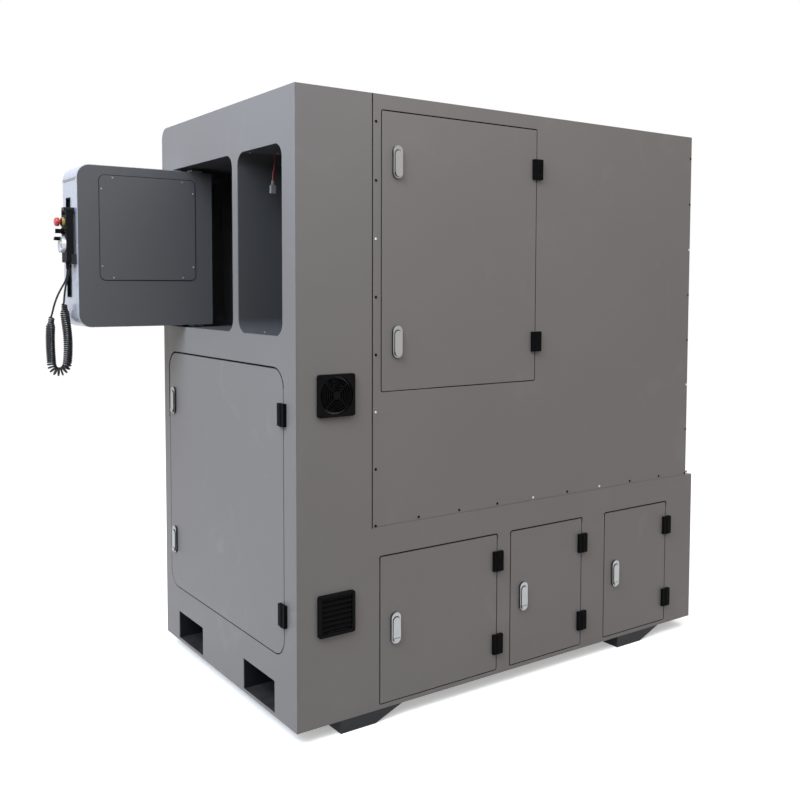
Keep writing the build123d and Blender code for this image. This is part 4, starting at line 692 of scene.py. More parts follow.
@dataclass
class Studio:
    """Camera at the photograph's place, soft light and a pale floor."""

    camera_at: Point = (2.31885, 3.16974, 1.48206)
    pitch: float = 86.683
    turn: float = 145.097
    roll: float = 0.14
    lens: float = 42.708
    sensor: float = 36.0
    shift: float = -0.0754
    floor_size: float = 120.0
    floor_seen: Colour = (0.82, 0.82, 0.82)
    floor_bounce: Colour = (0.09, 0.081, 0.07)
    floor_glow: float = 0.36
    floor_roughness: float = 0.9
    ambient: float = 0.72
    ambient_colour: Colour = (1.0, 0.965, 0.94)
    white: Colour = (1.0, 1.0, 1.0)
    sun_strength: float = 0.65
    sun_at: Point = (8.0, 2.4, 5.6)
    sun_spread: float = 50.0
    sun_colour: Colour = (0.95, 1.0, 1.06)
    lamps: tuple[Lamp, ...] = (
        Lamp("end_lamp", (3.1, 1.0, 3.75), 178.0, (0.83, 1.0, 1.26)),
        Lamp("rear_lamp", (0.4, 2.6, 4.2), 56.0, (1.0, 0.95, 0.9)),
        Lamp("front_lamp", (-2.6, -2.6, 4.2), 95.0, (0.98, 1.0, 1.03)),
    )
    lamp_size: float = 2.6
    lamp_aim: Point = (0.3, 0.2, 1.2)

    def build(self) -> None:
        """Makes the camera, the light, the world and the floor."""
        self.build_camera()
        self.build_light()
        self.build_world()
        self.build_floor()
        bpy.context.scene.view_settings.view_transform = "Standard"

    def build_camera(self) -> None:
        """Makes the camera and makes it the scene's own."""
        data = bpy.data.cameras.new("camera")
        data.lens = self.lens
        data.sensor_width = self.sensor
        data.shift_y = self.shift
        camera = bpy.data.objects.new("camera", data)
        turn = Euler((math.radians(self.pitch), 0.0, math.radians(self.turn)), "XYZ").to_matrix().to_4x4()
        roll = Matrix.Rotation(math.radians(self.roll), 4, "Z")
        camera.matrix_world = Matrix.Translation(self.camera_at) @ turn @ roll
        bpy.context.scene.collection.objects.link(camera)
        bpy.context.scene.camera = camera

    def build_light(self) -> None:
        """Makes a weak broad sun and three large soft lamps round the object."""
        sun = bpy.data.lights.new("broad_light", "SUN")
        sun.energy = self.sun_strength
        sun.angle = math.radians(self.sun_spread)
        sun.color = self.sun_colour
        self.hang(sun, Vector(self.sun_at), Vector((0.0, 0.0, 0.0)))
        for lamp in self.lamps:
            data = bpy.data.lights.new(lamp.name, "AREA")
            data.size = self.lamp_size
            data.energy = lamp.power
            data.color = lamp.colour
            self.hang(data, Vector(lamp.place), Vector(self.lamp_aim))

    def hang(self, data: Light, place: Vector, aim: Vector) -> None:
        """Hangs a lamp at a place and points it at another.

        Args:
            data: The lamp.
            place: Where it hangs.
            aim: The point that it looks at.
        """
        lamp = bpy.data.objects.new(data.name, data)
        turn = (aim - place).to_track_quat("-Z", "Y").to_matrix().to_4x4()
        lamp.matrix_world = Matrix.Translation(place) @ turn
        bpy.context.scene.collection.objects.link(lamp)

    def seen(self, graph: Graph) -> NodeSocket:
        """Tells seen rays from those that only light the object.

        Args:
            graph: The graph that asks.

        Returns:
            A value of 1 for rays from the camera, from gloss and through glass, else 0.
        """
        path = graph.add("ShaderNodeLightPath").outputs
        seen = graph.math("MAXIMUM", path["Is Camera Ray"], path["Is Glossy Ray"])
        return graph.math("MAXIMUM", seen, path["Is Transmission Ray"])

    def build_world(self) -> None:
        """Makes an even sky that is white where it is seen."""
        world = bpy.data.worlds.new("studio")
        world.use_nodes = True
        bpy.context.scene.world = world
        graph = Graph(world.node_tree)
        seen = self.seen(graph)
        colour = graph.mix(seen, (*self.ambient_colour, 1.0), (*self.white, 1.0))
        strength = graph.remap(seen, 0.0, 1.0, to_low=self.ambient)
        graph.fill(world.node_tree.nodes["Background"], {"Color": colour, "Strength": strength})

    def build_floor(self) -> None:
        """Makes the pale floor that keeps the shadow."""
        bm = flat_outline(self.floor_size, self.floor_size, 0.0)
        mesh = bpy.data.meshes.new("floor")
        bm.to_mesh(mesh)
        bm.free()
        material = bpy.data.materials.new("pale_floor")
        material.use_nodes = True
        graph = Graph(material.node_tree)
        seen = self.seen(graph)
        graph.fill(material.node_tree.nodes["Principled BSDF"], {
            "Base Color": graph.mix(seen, (*self.floor_bounce, 1.0), (*self.floor_seen, 1.0)),
            "Emission Strength": graph.math("MULTIPLY", seen, self.floor_glow),
            "Emission Color": (*self.white, 1.0), "Roughness": self.floor_roughness,
            "Specular IOR Level": 0.0})
        mesh.materials.append(material)
        floor = bpy.data.objects.new("floor", mesh)
        bpy.context.scene.collection.objects.link(floor)


def spline_of(curve: Curve, points: Sequence[Vector]) -> None:
    """Adds a smooth open line to a curve.

    Args:
        curve: The curve.
        points: Control points of the line.
    """
    spline = curve.splines.new("NURBS")
    spline.points.add(len(points) - 1)
    for target, point in zip(spline.points, points):
        target.co = (*point, 1.0)
    spline.order_u = 3
    spline.use_endpoint_u = True


def smooth_line(points: Sequence[Vector], resolution: int) -> list[Vector]:
    """Reads points along the smooth line of a route.

    Args:
        points: The route's control points.
        resolution: Points read on each stretch.

    Returns:
        Points along the line, in order.
    """
    curve = bpy.data.curves.new("route", "CURVE")
    curve.dimensions = "3D"
    curve.resolution_u = resolution
    spline_of(curve, points)
    carrier = bpy.data.objects.new("route", curve)
    mesh = bpy.data.meshes.new_from_object(carrier)
    line = [vertex.co.copy() for vertex in mesh.vertices]
    bpy.data.meshes.remove(mesh)
    bpy.data.objects.remove(carrier)
    bpy.data.curves.remove(curve)
    return line


def cord_curve(name: str, points: Sequence[Vector], diameter: float, finish: Finish) -> Object:
    """Makes a round cord along a smooth line.

    Args:
        name: Name of the piece.
        points: Control points of its line.
        diameter: Its thickness.
        finish: Its sheath.

    Returns:
        The curve object.
    """
    curve = bpy.data.curves.new(name, "CURVE")
    curve.dimensions = "3D"
    curve.resolution_u = 3
    curve.bevel_depth = diameter / 2
    curve.bevel_resolution = 3
    curve.use_fill_caps = True
    spline_of(curve, points)
    curve.materials.append(finish.material())
    thing = bpy.data.objects.new(name, curve)
    bpy.context.scene.collection.objects.link(thing)
    return thing


def route(points: Sequence[Point]) -> list[Vector]:
    """Returns the points of a route in millimetres as vectors in metres."""
    return [Vector(point) * MM for point in points]


@dataclass
class CurlyCord:
    """Curly cord of the pendant: a plain lead, a helix that hangs in a bend and a second lead.

    The routes are in millimetres.
    """

    diameter: float = 7.0 * MM
    coil_radius: float = 17.0 * MM
    spare: float = 1.1
    turn_points: int = 12
    stretch_points: int = 24
    least: float = 0.6
    closest: float = 0.3
    ease: int = 3
    length: float = 5.12
    relief_lead: tuple[Point, ...] = (
        (1327.5, -374.0, 1534.0), (1328.0, -375.0, 1512.0), (1335.0, -380.0, 1489.0),
        (1348.0, -388.0, 1464.0), (1359.0, -398.0, 1437.0), (1367.0, -408.0, 1408.0),
        (1372.0, -418.0, 1378.0), (1374.0, -422.5, 1359.0),
    )
    coil: tuple[Point, ...] = (
        (1374.0, -422.5, 1359.0), (1376.0, -427.0, 1340.0), (1377.5, -433.0, 1297.0),
        (1376.0, -439.0, 1250.0), (1373.0, -443.0, 1207.0), (1370.5, -445.0, 1171.0),
        (1354.5, -446.0, 1155.0), (1332.5, -446.0, 1155.0), (1316.5, -445.0, 1171.0),
        (1312.0, -443.0, 1207.0), (1310.5, -441.0, 1254.0), (1313.5, -438.0, 1300.0),
        (1320.0, -435.0, 1344.0), (1325.0, -432.0, 1386.0), (1325.5, -430.0, 1409.0),
    )
    outlet_lead: tuple[Point, ...] = (
        (1325.5, -430.0, 1409.0), (1326.0, -428.0, 1432.0), (1325.0, -421.0, 1457.0),
        (1322.5, -413.0, 1481.0), (1318.5, -404.0, 1504.0), (1314.5, -396.0, 1523.0),
        (1313.5, -393.0, 1539.0),
    )

    def helix(self) -> list[Vector]:
        """Winds the helix about the line of its route.

        Returns:
            Control points of the turns, closer together inside a bend.
        """
        line = smooth_line(route(self.coil), self.stretch_points)
        runs = [(after - before).length for before, after in zip(line, line[1:])]
        total, done, phase = sum(runs), 0.0, 0.0
        radius = self.coil_radius - self.diameter / 2
        step = math.tau / self.turn_points
        across = Vector((0.0, 1.0, 0.0))
        points = []
        for before, here, after, run in zip(line, line[1:], line[2:], runs):
            along = (here - before).normalized()
            across = (across - along * across.dot(along)).normalized()
            tightness = min(radius * along.angle((after - here).normalized(), 0.0) / run, self.closest)
            gain = math.tau * run * (1.0 - tightness) / (self.diameter * self.spare)
            for index in range(math.floor(phase / step) + 1, math.floor((phase + gain) / step) + 1):
                share = (index * step - phase) / gain
                reached = done + run * share
                grown = max(self.least, min(1.0, min(reached, total - reached) / (2.0 * self.coil_radius)))
                spoke = Matrix.Rotation(index * step, 3, along) @ across
                points.append(before.lerp(here, share) + spoke * (radius * grown / math.cos(step / 2)))
            phase += gain
            done += run
        return points

    def build(self) -> None:
        first, last, turns = route(self.relief_lead), route(self.outlet_lead), self.helix()
        eased = turns[:1] + turns[self.ease:-self.ease] + turns[-1:]
        cord = cord_curve("pendant_cord", first[:-1] + eased + last[1:], self.diameter, CORD_BLACK)
        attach(cord, "control_box")
        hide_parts("pendant_coil", "pendant_leads")
        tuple(first[0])
        LOG.info("pendant_cord: helix on control_box")


@dataclass
class BayLead:
    """Short red lead that hangs from the bay's ceiling with its connector, its route in millimetres."""

    diameter: float = 3.2 * MM
    length: float = 0.0919
    hang: tuple[Point, ...] = (
        (774.5, 195.0, 1932.0), (774.5, 195.0, 1911.0), (777.0, 195.6, 1890.0), (784.0, 196.4, 1866.0),
        (784.0, 196.4, 1841.0),
    )

    def build(self) -> None:
        points = route(self.hang)
        lead = cord_curve("red_bay_lead", points, self.diameter, RED_LEAD)
        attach(lead, "frame")
        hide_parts("bay_lead")
        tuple(points[0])
        paint_node("lead_plug", PLUG_NYLON)
        LOG.info("red_bay_lead: on frame")


@dataclass
class Enclosure:
    """Walls, roof and base with their panel screws, seam strips and bay screws."""

    edge: float = 0.9 * MM
    column_inset: float = 11.0 * MM
    far_inset: float = 6.0 * MM
    row_rise: float = 10.0 * MM
    column_drop: float = 90.0 * MM
    column_pitch: float = 191.0 * MM
    column_count: int = 8
    row_pitch: float = 177.8 * MM
    row_count: int = 10
    bright_column: tuple[int, ...] = (2, 5)
    bright_row: tuple[int, ...] = (3, 5)
    seam: float = 4.0 * MM
    sheet: float = 3.0 * MM
    strip_recess: float = 0.6 * MM
    strip_edge: float = 0.2 * MM
    nodes: tuple[str, ...] = ("end_wall", "rear_wall", "rear_panel", "front_wall", "far_wall", "roof_panel",
                              "base_plate", "fork_tubes")
    panel_screws: Screws = Screws()
    bay_screws: Screws = Screws(*mm(3.4, 2.0, 1.5))
    ceiling_screws: tuple[Point, ...] = ((0.864, 0.185, 1.932), (0.78, 0.2265, 1.932), (0.69, 0.4, 1.932))
    floor_screws: tuple[Point, ...] = ((0.82, 0.2, 1.315), (0.72, 0.26, 1.315), (0.72, 0.4, 1.315))

    def dress(self) -> None:
        """Softens the folded edges and adds screws and seam strips."""
        for name in self.nodes:
            soften_node(name, self.edge)
        self.build_panel_screws()
        self.build_seam_strips()
        for name, places, wall in (("bay_ceiling_screws", self.ceiling_screws, Wall.UNDER),
                                   ("bay_floor_screws", self.floor_screws, Wall.UPPER)):
            self.bay_screws.build(name, places, wall, BRIGHT_SCREW, "frame")

    def build_panel_screws(self) -> None:
        """Sets screws down both sides and along the foot of the rear panel."""
        low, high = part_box("rear_panel")
        near, far = high.x - self.column_inset, low.x + self.far_inset
        dark, bright = [], []
        for x in (near, far):
            for index in range(self.column_count):
                place = (x, high.y, high.z - self.column_drop - index * self.column_pitch)
                (bright if index in self.bright_column else dark).append(place)
        for index in range(self.row_count - 1):
            place = (near - self.row_pitch * (index + 1), high.y, low.z + self.row_rise)
            (bright if index in self.bright_row else dark).append(place)
        self.panel_screws.build("rear_panel_dark_screws", dark, Wall.REAR, DARK_SCREW, "frame")
        self.panel_screws.build("rear_panel_bright_screws", bright, Wall.REAR, BRIGHT_SCREW, "frame")

    def build_seam_strips(self) -> None:
        """Lays a rubber strip in the upright seam of the rear panel and a painted one in its foot seam."""
        low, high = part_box("rear_panel")
        back, front, foot = high.y - self.sheet, high.y - self.strip_recess, low.z - self.seam
        upright = plate(Vector((high.x, back, foot)), Vector((high.x + self.seam, front, high.z)),
                        self.strip_edge)
        piece("rear_panel_seam_strip", upright, SEAL_RUBBER, "frame", "black_plastic")
        level = plate(Vector((low.x, back, foot)), Vector((high.x, front, low.z - self.strip_recess)),
                      self.strip_edge)
        piece("rear_panel_foot_strip", level, GREY_PAINT, "frame", "grey_paint")


@dataclass
class Doors:
    """Five hinged doors with their seals, hinges, latches and levers, and black bands of painted gap shade on
    the walls round their tops.
    """

    edge: float = 0.9 * MM
    hinge_edge: float = 1.2 * MM
    latch_edge: float = 1.4 * MM
    # Share of the zinc's colour left on the latches' sides: painted shade.
    latch_painted_shade_share: float = 0.12
    seam: float = 4.0 * MM
    seal_breadth: float = 2.8 * MM
    seal_depth: float = 4.0 * MM
    seal_recess: float = 1.0 * MM
    # Black bands laid on the wall round the tops of the openings: painted shade of the gaps, sloping down the
    # sides.
    end_painted_gap_shade: float = 2.6 * MM
    rear_painted_gap_shade: float = 1.2 * MM
    gap_shade_height: float = 0.8 * MM
    end_drop: Sizes = mm(260.0, 60.0)
    rear_drop: Sizes = mm(14.0, 14.0)
    leaf_corner: float = 4.0 * MM
    end_corner: float = 64.0 * MM
    tall_leaf: str = "service_door"
    base_leaves: tuple[str, ...] = ("base_door_1", "base_door_2", "base_door_3")

    def dress(self) -> None:
        """Softens the doors, finishes the latches with painted shade on their sides, and lays the seals and
        the black bands of painted gap shade.
        """
        # Painted shade: the latches' sides keep only a share of the zinc's colour, in place of their shadow
        # and dark reflections.
        rear = replace(ZINC, name="bright_zinc_rear_latch_painted_side_shade", out=Wall.REAR, painted_shade_share=self.latch_painted_shade_share)
        end = replace(rear, name="bright_zinc_end_latch_painted_side_shade", out=Wall.END)
        for name in frame["nodes"]:
            if "latch" in name or "lever" in name:
                paint_node(name, end if name.startswith("end_") else rear)
                soften_node(name, self.latch_edge)
            elif name in (self.tall_leaf, "end_door", *self.base_leaves):
                soften_node(name, self.edge)
            elif "hinges" in name:
                soften_node(name, self.hinge_edge)
        self.build_seal(self.tall_leaf, Wall.REAR, self.leaf_corner)
        for name in self.base_leaves:
            self.build_seal(name, Wall.REAR, self.leaf_corner)
            self.build_painted_gap_shade(name, Wall.REAR, self.leaf_corner, self.rear_drop, self.rear_painted_gap_shade)
        self.build_seal("end_door", Wall.END, self.end_corner)
        self.build_painted_gap_shade("end_door", Wall.END, self.end_corner, self.end_drop, self.end_painted_gap_shade)

    def measure(self, leaf: str, wall: Wall, inwards: float) -> tuple[float, float, Matrix]:
        """Measures the leaf of one door.

        Args:
            leaf: Node of the leaf.
            wall: The wall that the door is in.
            inwards: Depth of the placement below the leaf's outer face.

        Returns:
            The leaf's width and height, and the placement of its middle.
        """
        low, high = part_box(leaf)
        size, middle = high - low, (high + low) / 2
        if wall is Wall.REAR:
            middle.y = high.y - inwards
            return size.x, size.z, wall.place(middle)
        middle.x = high.x - inwards
        return size.y, size.z, wall.place(middle)

    def build_seal(self, leaf: str, wall: Wall, corner: float) -> None:
        """Lays a rubber seal round the opening of one door, short of the leaf.

        Args:
            leaf: Node of the door's leaf.
            wall: The wall that the door is in.
            corner: Radius of the leaf's corners.
        """
        width, height, place = self.measure(leaf, wall, self.seal_recess + self.seal_depth)
        seal = band(width + 2 * self.seam, height + 2 * self.seam, self.seal_breadth, self.seal_depth,
                    corner + self.seam)
        piece(leaf + "_seal", moved(seal, place), SEAL_RUBBER, "frame", "black_plastic")

    def build_painted_gap_shade(self, leaf: str, wall: Wall, corner: float, drop: Sizes, breadth: float) -> None:
        """Lays a black band on the wall over the top of one door's opening: painted shade of the gap, cut on
        a slope down its sides.

        Args:
            leaf: Node of the door's leaf.
            wall: The wall that the door is in.
            corner: Radius of the leaf's corners.
            drop: How far the band runs down the left and the right side.
            breadth: Breadth of the band on the wall.
        """
        width, height, place = self.measure(leaf, wall, 0.0)
        out = self.seam + breadth
        gap_shade = band(width + 2 * out, height + 2 * out, breadth, self.gap_shade_height, corner + out)
        left = Vector((-width / 2, height / 2 - drop[0], 0.0))
        slope = Vector((width / 2, height / 2 - drop[1], 0.0)) - left
        bmesh.ops.bisect_plane(gap_shade, geom=gap_shade.verts[:] + gap_shade.edges[:] + gap_shade.faces[:], plane_co=left,
                               plane_no=Vector((-slope.y, slope.x, 0.0)).normalized(), clear_inner=True)
        bmesh.ops.holes_fill(gap_shade, edges=[edge for edge in gap_shade.edges if edge.is_boundary])
        bmesh.ops.recalc_face_normals(gap_shade, faces=gap_shade.faces)
        piece(leaf + "_painted_gap_shade", moved(gap_shade, place), SEAL_RUBBER, "frame", "black_plastic")


@dataclass
class Vents:
    """Fan guard and filter guard on the rear wall."""

    screw_inset: float = 8.0 * MM
    screws: Screws = Screws(*mm(3.6, 1.8, 1.6))
    mat: Sizes = mm(112.0, 112.0, 2.5, 4.0, 0.8)
    proud: float = 12.0 * MM
    hole: float = 56.9 * MM
    lining: float = 1.2 * MM
    lining_depth: float = 3.2 * MM
    lining_segments: int = 48

    def dress(self) -> None:
        """Adds the guards' screws, the fan hole's lining and the filter mat behind the lower louvres."""
        paint_node("vent_guards", GUARD_BLACK)
        low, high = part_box("vent_guards")
        half, middle = (high.x - low.x) / 2, (high.x + low.x) / 2
        upper, lower, back = high.z - half, low.z + half, high.y - self.proud
        reach = half - self.screw_inset
        places = [(middle + x * reach, high.y, centre + z * reach)
                  for centre in (upper, lower) for x in (-1, 1) for z in (-1, 1)]
        self.screws.build("guard_screws", places, Wall.REAR, DARK_SCREW, "frame")
        inner, depth = self.hole - self.lining, self.lining_depth
        ring = [(self.hole, 0.0), (self.hole, depth), (inner, depth), (inner, 0.0), (self.hole, 0.0)]
        lining = moved(turned(ring, self.lining_segments), Wall.REAR.place((middle, back - depth, upper)))
        piece("fan_hole_lining", lining, GUARD_BLACK, "frame", "black_plastic")
        mat = moved(panel(*self.mat), Wall.REAR.place((middle, back, lower)))
        piece("filter_mat", mat, FILTER_FIBRE, "frame", "black_plastic")


@dataclass
class ControlBox:
    """Swivelling control box with its cover, end plate and operator panel."""

    edge: float = 1.2 * MM
    # Breadth and height of the black band round the cover: a painted shadow line at its edge.
    gasket: float = 2.2 * MM
    gasket_height: float = 1.0 * MM
    cover_corner: float = 20.0 * MM
    cover_edge: float = 0.5 * MM
    cover_screws: Screws = Screws(*mm(3.6, 2.0, 1.7))
    screw_offset: float = 50.0 * MM
    screw_inset: float = 8.0 * MM
    plate_screws: Screws = Screws(*mm(3.4, 1.6, 1.5))
    plate_inset: float = 9.0 * MM
    plate_corner: float = 45.0 * MM
    plate_run: float = 350.0 * MM
    bend_steps: int = 14
    joint_height: float = 10.0 * MM
    joint_form: Sizes = mm(0.8, 0.0, 0.3)
    key_rise: float = 1.5 * MM
    recess: float = 2.0 * MM
    screen: Sizes = mm(307.6, 230.9)
    screen_top: float = 37.6 * MM
    screen_corner: float = 6.0 * MM
    glass_play: float = 1.0 * MM
    glass_form: Sizes = mm(0.9, 5.5, 0.3)
    bezel: float = 7.0 * MM
    bezel_height: float = 1.2 * MM
    key_pitch: Sizes = mm(29.655, 30.43)
    key_start: float = 52.8 * MM
    key_share: float = 0.74
    key_form: Sizes = mm(1.0, 2.0, 0.4)
    columns: int = 11
    rows: int = 6

    def dress(self) -> None:
        """Softens the box and adds cover, end plate, screws, screen and key caps."""
        soften_node("control_box", self.edge)
        paint_node("box_pivots", PIVOT_STEEL)
        self.build_cover_fittings()
        self.build_plate_ends()
        self.build_plate_screws()
        self.build_screen()
        self.build_keys()

    def build_cover_fittings(self) -> None:
        """Sets the cover on a black band that paints the shadow line round its edge, with two screws at each
        of its corners.
        """
        low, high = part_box("control_cover")
        size, middle = high - low, (high + low) / 2
        place = Wall.REAR.place((middle.x, low.y, middle.z))
        sheet = panel(size.x, size.z, size.y, self.cover_corner, self.cover_edge)
        cover = piece("cover_sheet", moved(sheet, place), BOX_PAINT, "control_box", "box_paint")
        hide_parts("control_cover")
        # Painted shadow line: a black band just wider than the cover, under its edge.
        shadow_line = panel(size.x + 2 * self.gasket, size.z + 2 * self.gasket, self.gasket_height,
                      self.cover_corner + self.gasket)
        piece("cover_painted_shadow_line", moved(shadow_line, place), SEAL_RUBBER, "control_box", "black_plastic")
        places = [(x, high.y, z) for along, up in ((self.screw_offset, self.screw_inset),
                                                   (self.screw_inset, self.screw_offset))
                  for x in (low.x + along, high.x - along) for z in (low.z + up, high.z - up)]
        self.cover_screws.build("cover_screws", places, Wall.REAR, DULL_SCREW, "control_box")

    def build_plate_ends(self) -> None:
        """Bends the end plate over the box's round corners and along its top and underside."""
        low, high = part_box("side_plate")
        size, middle = high - low, (high + low) / 2
        start = Matrix.Translation((middle.x, middle.y, high.z)) @ Matrix.Diagonal((size.x, size.y, 1.0, 1.0))
        for name, turn in (("upper", 1.0), ("lower", -1.0)):
            bm = bmesh.new()
            bmesh.ops.create_grid(bm, x_segments=1, y_segments=1, size=0.5, matrix=start)
            bent = bmesh.ops.spin(bm, geom=bm.verts[:] + bm.edges[:] + bm.faces[:], axis=(0, -1, 0),
                                  cent=(low.x - self.plate_corner, 0.0, high.z), angle=math.pi / 2,
                                  steps=self.bend_steps)
            last = [item for item in bent["geom_last"] if isinstance(item, BMFace)]
            run = bmesh.ops.extrude_face_region(bm, geom=last)["geom"]
            bmesh.ops.translate(bm, vec=(-self.plate_run, 0.0, 0.0),
                                verts=[item for item in run if isinstance(item, BMVert)])
            bmesh.ops.delete(bm, geom=[face for face in last if face.is_valid], context="FACES_ONLY")
            centre = Matrix.Translation((0.0, 0.0, middle.z))
            moved(bm, centre @ Matrix.Diagonal((1.0, 1.0, turn, 1.0)) @ centre.inverted())
            bmesh.ops.recalc_face_normals(bm, faces=bm.faces)
            piece("end_plate_bend_" + name, bm, SILVER_PLATE, "control_box", "silver_plate")
        place = Wall.END.place((high.x, middle.y, high.z - self.joint_height / 2))
        joint = moved(panel(size.y, self.joint_height, *self.joint_form), place)
        piece("end_plate_joint", joint, DULL_SCREW, "control_box", "silver_plate")

    def build_plate_screws(self) -> None:
        """Sets screws along both long sides of the end plate."""
        low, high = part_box("side_plate")
        inset = self.plate_inset
        places = [(high.x, y, z) for y in (low.y + inset, high.y - inset)
                  for z in (low.z + inset, (low.z + high.z) / 2, high.z - inset)]
        self.plate_screws.build("end_plate_screws", places, Wall.END, BRIGHT_SCREW, "control_box")

    def build_screen(self) -> None:
        """Sets the glass in the screen's recess and a bezel round it."""
        low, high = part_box("control_panel")
        width, height = self.screen
        x, face, z = (low.x + high.x) / 2, low.y + self.key_rise, high.z - self.screen_top - height / 2
        glass = panel(width - self.glass_play, height - self.glass_play, *self.glass_form)
        seat = Wall.FRONT.place((x, face + self.recess, z))
        piece("screen_glass", moved(glass, seat), SCREEN_GLASS, "control_box", "black_plastic")
        breadth = self.bezel / 2
        bezel = band(width + self.bezel, height + self.bezel, breadth, self.bezel_height,
                     self.screen_corner + breadth)
        place = Wall.FRONT.place((x, face, z))
        piece("screen_bezel", moved(bezel, place), DUCT_GREY, "control_box", "grey_plastic")

    def cap_finish(self, column: int, row: int) -> Finish:
        """Chooses the finish of one key cap.

        Args:
            column: Its column, counted from the left.
            row: Its row, counted from below.

        Returns:
            The finish.
        """
        if column >= self.columns - 2:
            return KEY_GREEN if row == 0 else KEY_BLUE
        return DRIVE_CASE if column >= self.columns - 4 else KEY_GREY

    def build_keys(self) -> None:
        """Sets a cap on every key of the keypad."""
        low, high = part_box("control_panel")
        across, upward = self.key_pitch
        first = (low.x + high.x) / 2 - across * (self.columns - 1) / 2
        caps: dict[Finish, list[Matrix]] = {}
        for column in range(self.columns):
            for row in range(self.rows):
                place = (first + column * across, low.y, low.z + self.key_start + row * upward)
                caps.setdefault(self.cap_finish(column, row), []).append(Wall.FRONT.place(place))
        form = (across * self.key_share, upward * self.key_share, *self.key_form)
        for finish, places in caps.items():
            panels("keypad_" + finish.name, places, finish, "control_box", "grey_plastic", form)


@dataclass
class Pendant:
    """Hand pendant with stop button, selector and handwheel.

    The profiles of the turned sleeves are radius and height in millimetres.
    """

    front: float = 1337.5 * MM
    middle: float = -374.0 * MM
    foot: float = 1560.0 * MM
    body_edge: float = 1.2 * MM
    stop_edge: float = 1.6 * MM
    stop_segments: int = 3
    holder_edge: float = 0.8 * MM
    screws: Screws = Screws(*mm(2.6, 1.2, 1.2))
    screw_sides: Sizes = mm(-25.0, 25.0)
    screw_rises: Sizes = mm(8.0, 188.0)
    stop_rise: float = 146.0 * MM
    stop_sleeve: tuple[tuple[float, float], ...] = (
        (14.05, 0.0), (17.45, 0.0), (17.45, 5.0), (16.05, 9.5), (14.05, 9.5), (14.05, 0.0))
    stop_sleeve_segments: int = 40
    mark_height: float = 0.35 * MM
    knob_rise: float = 113.0 * MM
    knob_scale: float = 12.4 * MM
    knob_mark: Sizes = mm(0.9, 2.4)
    knob_line: Sizes = mm(1.8, 7.0)
    knob_angles: range = range(-90, 91, 30)
    wheel_rise: float = 65.0 * MM
    wheel_rim: float = 15.0 * MM
    wheel_radius: float = 29.2 * MM
    divisions: int = 50
    long_every: int = 5
    short_mark: Sizes = mm(0.8, 2.8)
    long_mark: Sizes = mm(0.8, 4.6)
    crank_arm: float = 21.0 * MM
    crank_sleeve: tuple[tuple[float, float], ...] = (
        (0.0, 0.0), (5.0, 0.0), (6.0, 0.6), (6.9, 9.6), (6.5, 18.0), (4.5, 23.5), (0.0, 24.4))
    crank_segments: int = 24

    def dress(self) -> None:
        """Softens the housing and adds sleeves, marks, ticks and screws."""
        soften_node("pendant_body", self.body_edge)
        soften_node("pendant_stop", self.stop_edge, self.stop_segments)
        soften_node("pendant_holder", self.holder_edge)
        paint_node("handwheel", SILVER_WHEEL)
        sleeve = turned([mm(*point) for point in self.stop_sleeve], self.stop_sleeve_segments)
        piece("stop_sleeve", moved(sleeve, self.place(self.front, self.stop_rise)), YELLOW_PLASTIC,
              "control_box", "red_plastic")
        self.build_selector_marks()
        self.build_wheel_ticks()
        sleeve = turned([mm(*point) for point in self.crank_sleeve], self.crank_segments)
        place = self.place(self.front + self.wheel_rim, self.wheel_rise + self.crank_arm)
        piece("crank_sleeve", moved(sleeve, place), BLACK_PLASTIC, "handwheel", "black_plastic")
        places = [(self.front, self.middle + y, self.foot + z)
                  for y in self.screw_sides for z in self.screw_rises]
        self.screws.build("pendant_screws", places, Wall.END, DARK_SCREW, "control_box")

    def place(self, x: float, rise: float) -> Matrix:
        """Returns the placement on the pendant's middle line at a height above its foot."""
        return Wall.END.place((x, self.middle, self.foot + rise))

    def tick(self, place: Matrix, angle: float, inner: float, form: Sizes) -> BMesh:
        """Makes one raised mark of a round scale.

        Args:
            place: Placement of the scale's centre.
            angle: Turn of the mark about it.
            inner: Radius at which the mark starts.
            form: Its width, and its length outwards.

        Returns:
            The mark's mesh.
        """
        mark = moved(panel(*form, self.mark_height), Matrix.Translation((0.0, inner + form[1] / 2, 0.0)))
        return moved(mark, place @ Matrix.Rotation(angle, 4, "Z"))

    def build_selector_marks(self) -> None:
        """Prints a scale round the selector and a line on its grip bar."""
        place = self.place(self.front, self.knob_rise)
        ticks = [self.tick(place, math.radians(angle), self.knob_scale, self.knob_mark)
                 for angle in self.knob_angles]
        piece("selector_scale", merged(ticks), WHITE_PLASTIC, "control_box", "white_plastic")
        place = self.place(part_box("pendant_knob")[1].x, self.knob_rise)
        line = self.tick(place, 0.0, 0.0, self.knob_line)
        piece("selector_line", line, WHITE_PLASTIC, "selector", "white_plastic")

    def build_wheel_ticks(self) -> None:
        """Marks the divisions on the handwheel's rim."""
        place = self.place(self.front + self.wheel_rim, self.wheel_rise)
        ticks = []
        for index in range(self.divisions):
            form = self.short_mark if index % self.long_every else self.long_mark
            angle = math.tau * index / self.divisions
            ticks.append(self.tick(place, angle, self.wheel_radius - form[1], form))
        piece("handwheel_ticks", merged(ticks), BLACK_PLASTIC, "handwheel", "black_plastic")


@dataclass(frozen=True)
class Fitting:
    """A row of like panels about one point of a drive's front, on the frame."""

    name: str
    form: Sizes
    finish: Finish
    slot: str
    rise: float
    count: int = 1
    pitch: Sizes = mm(0.0, 0.0)


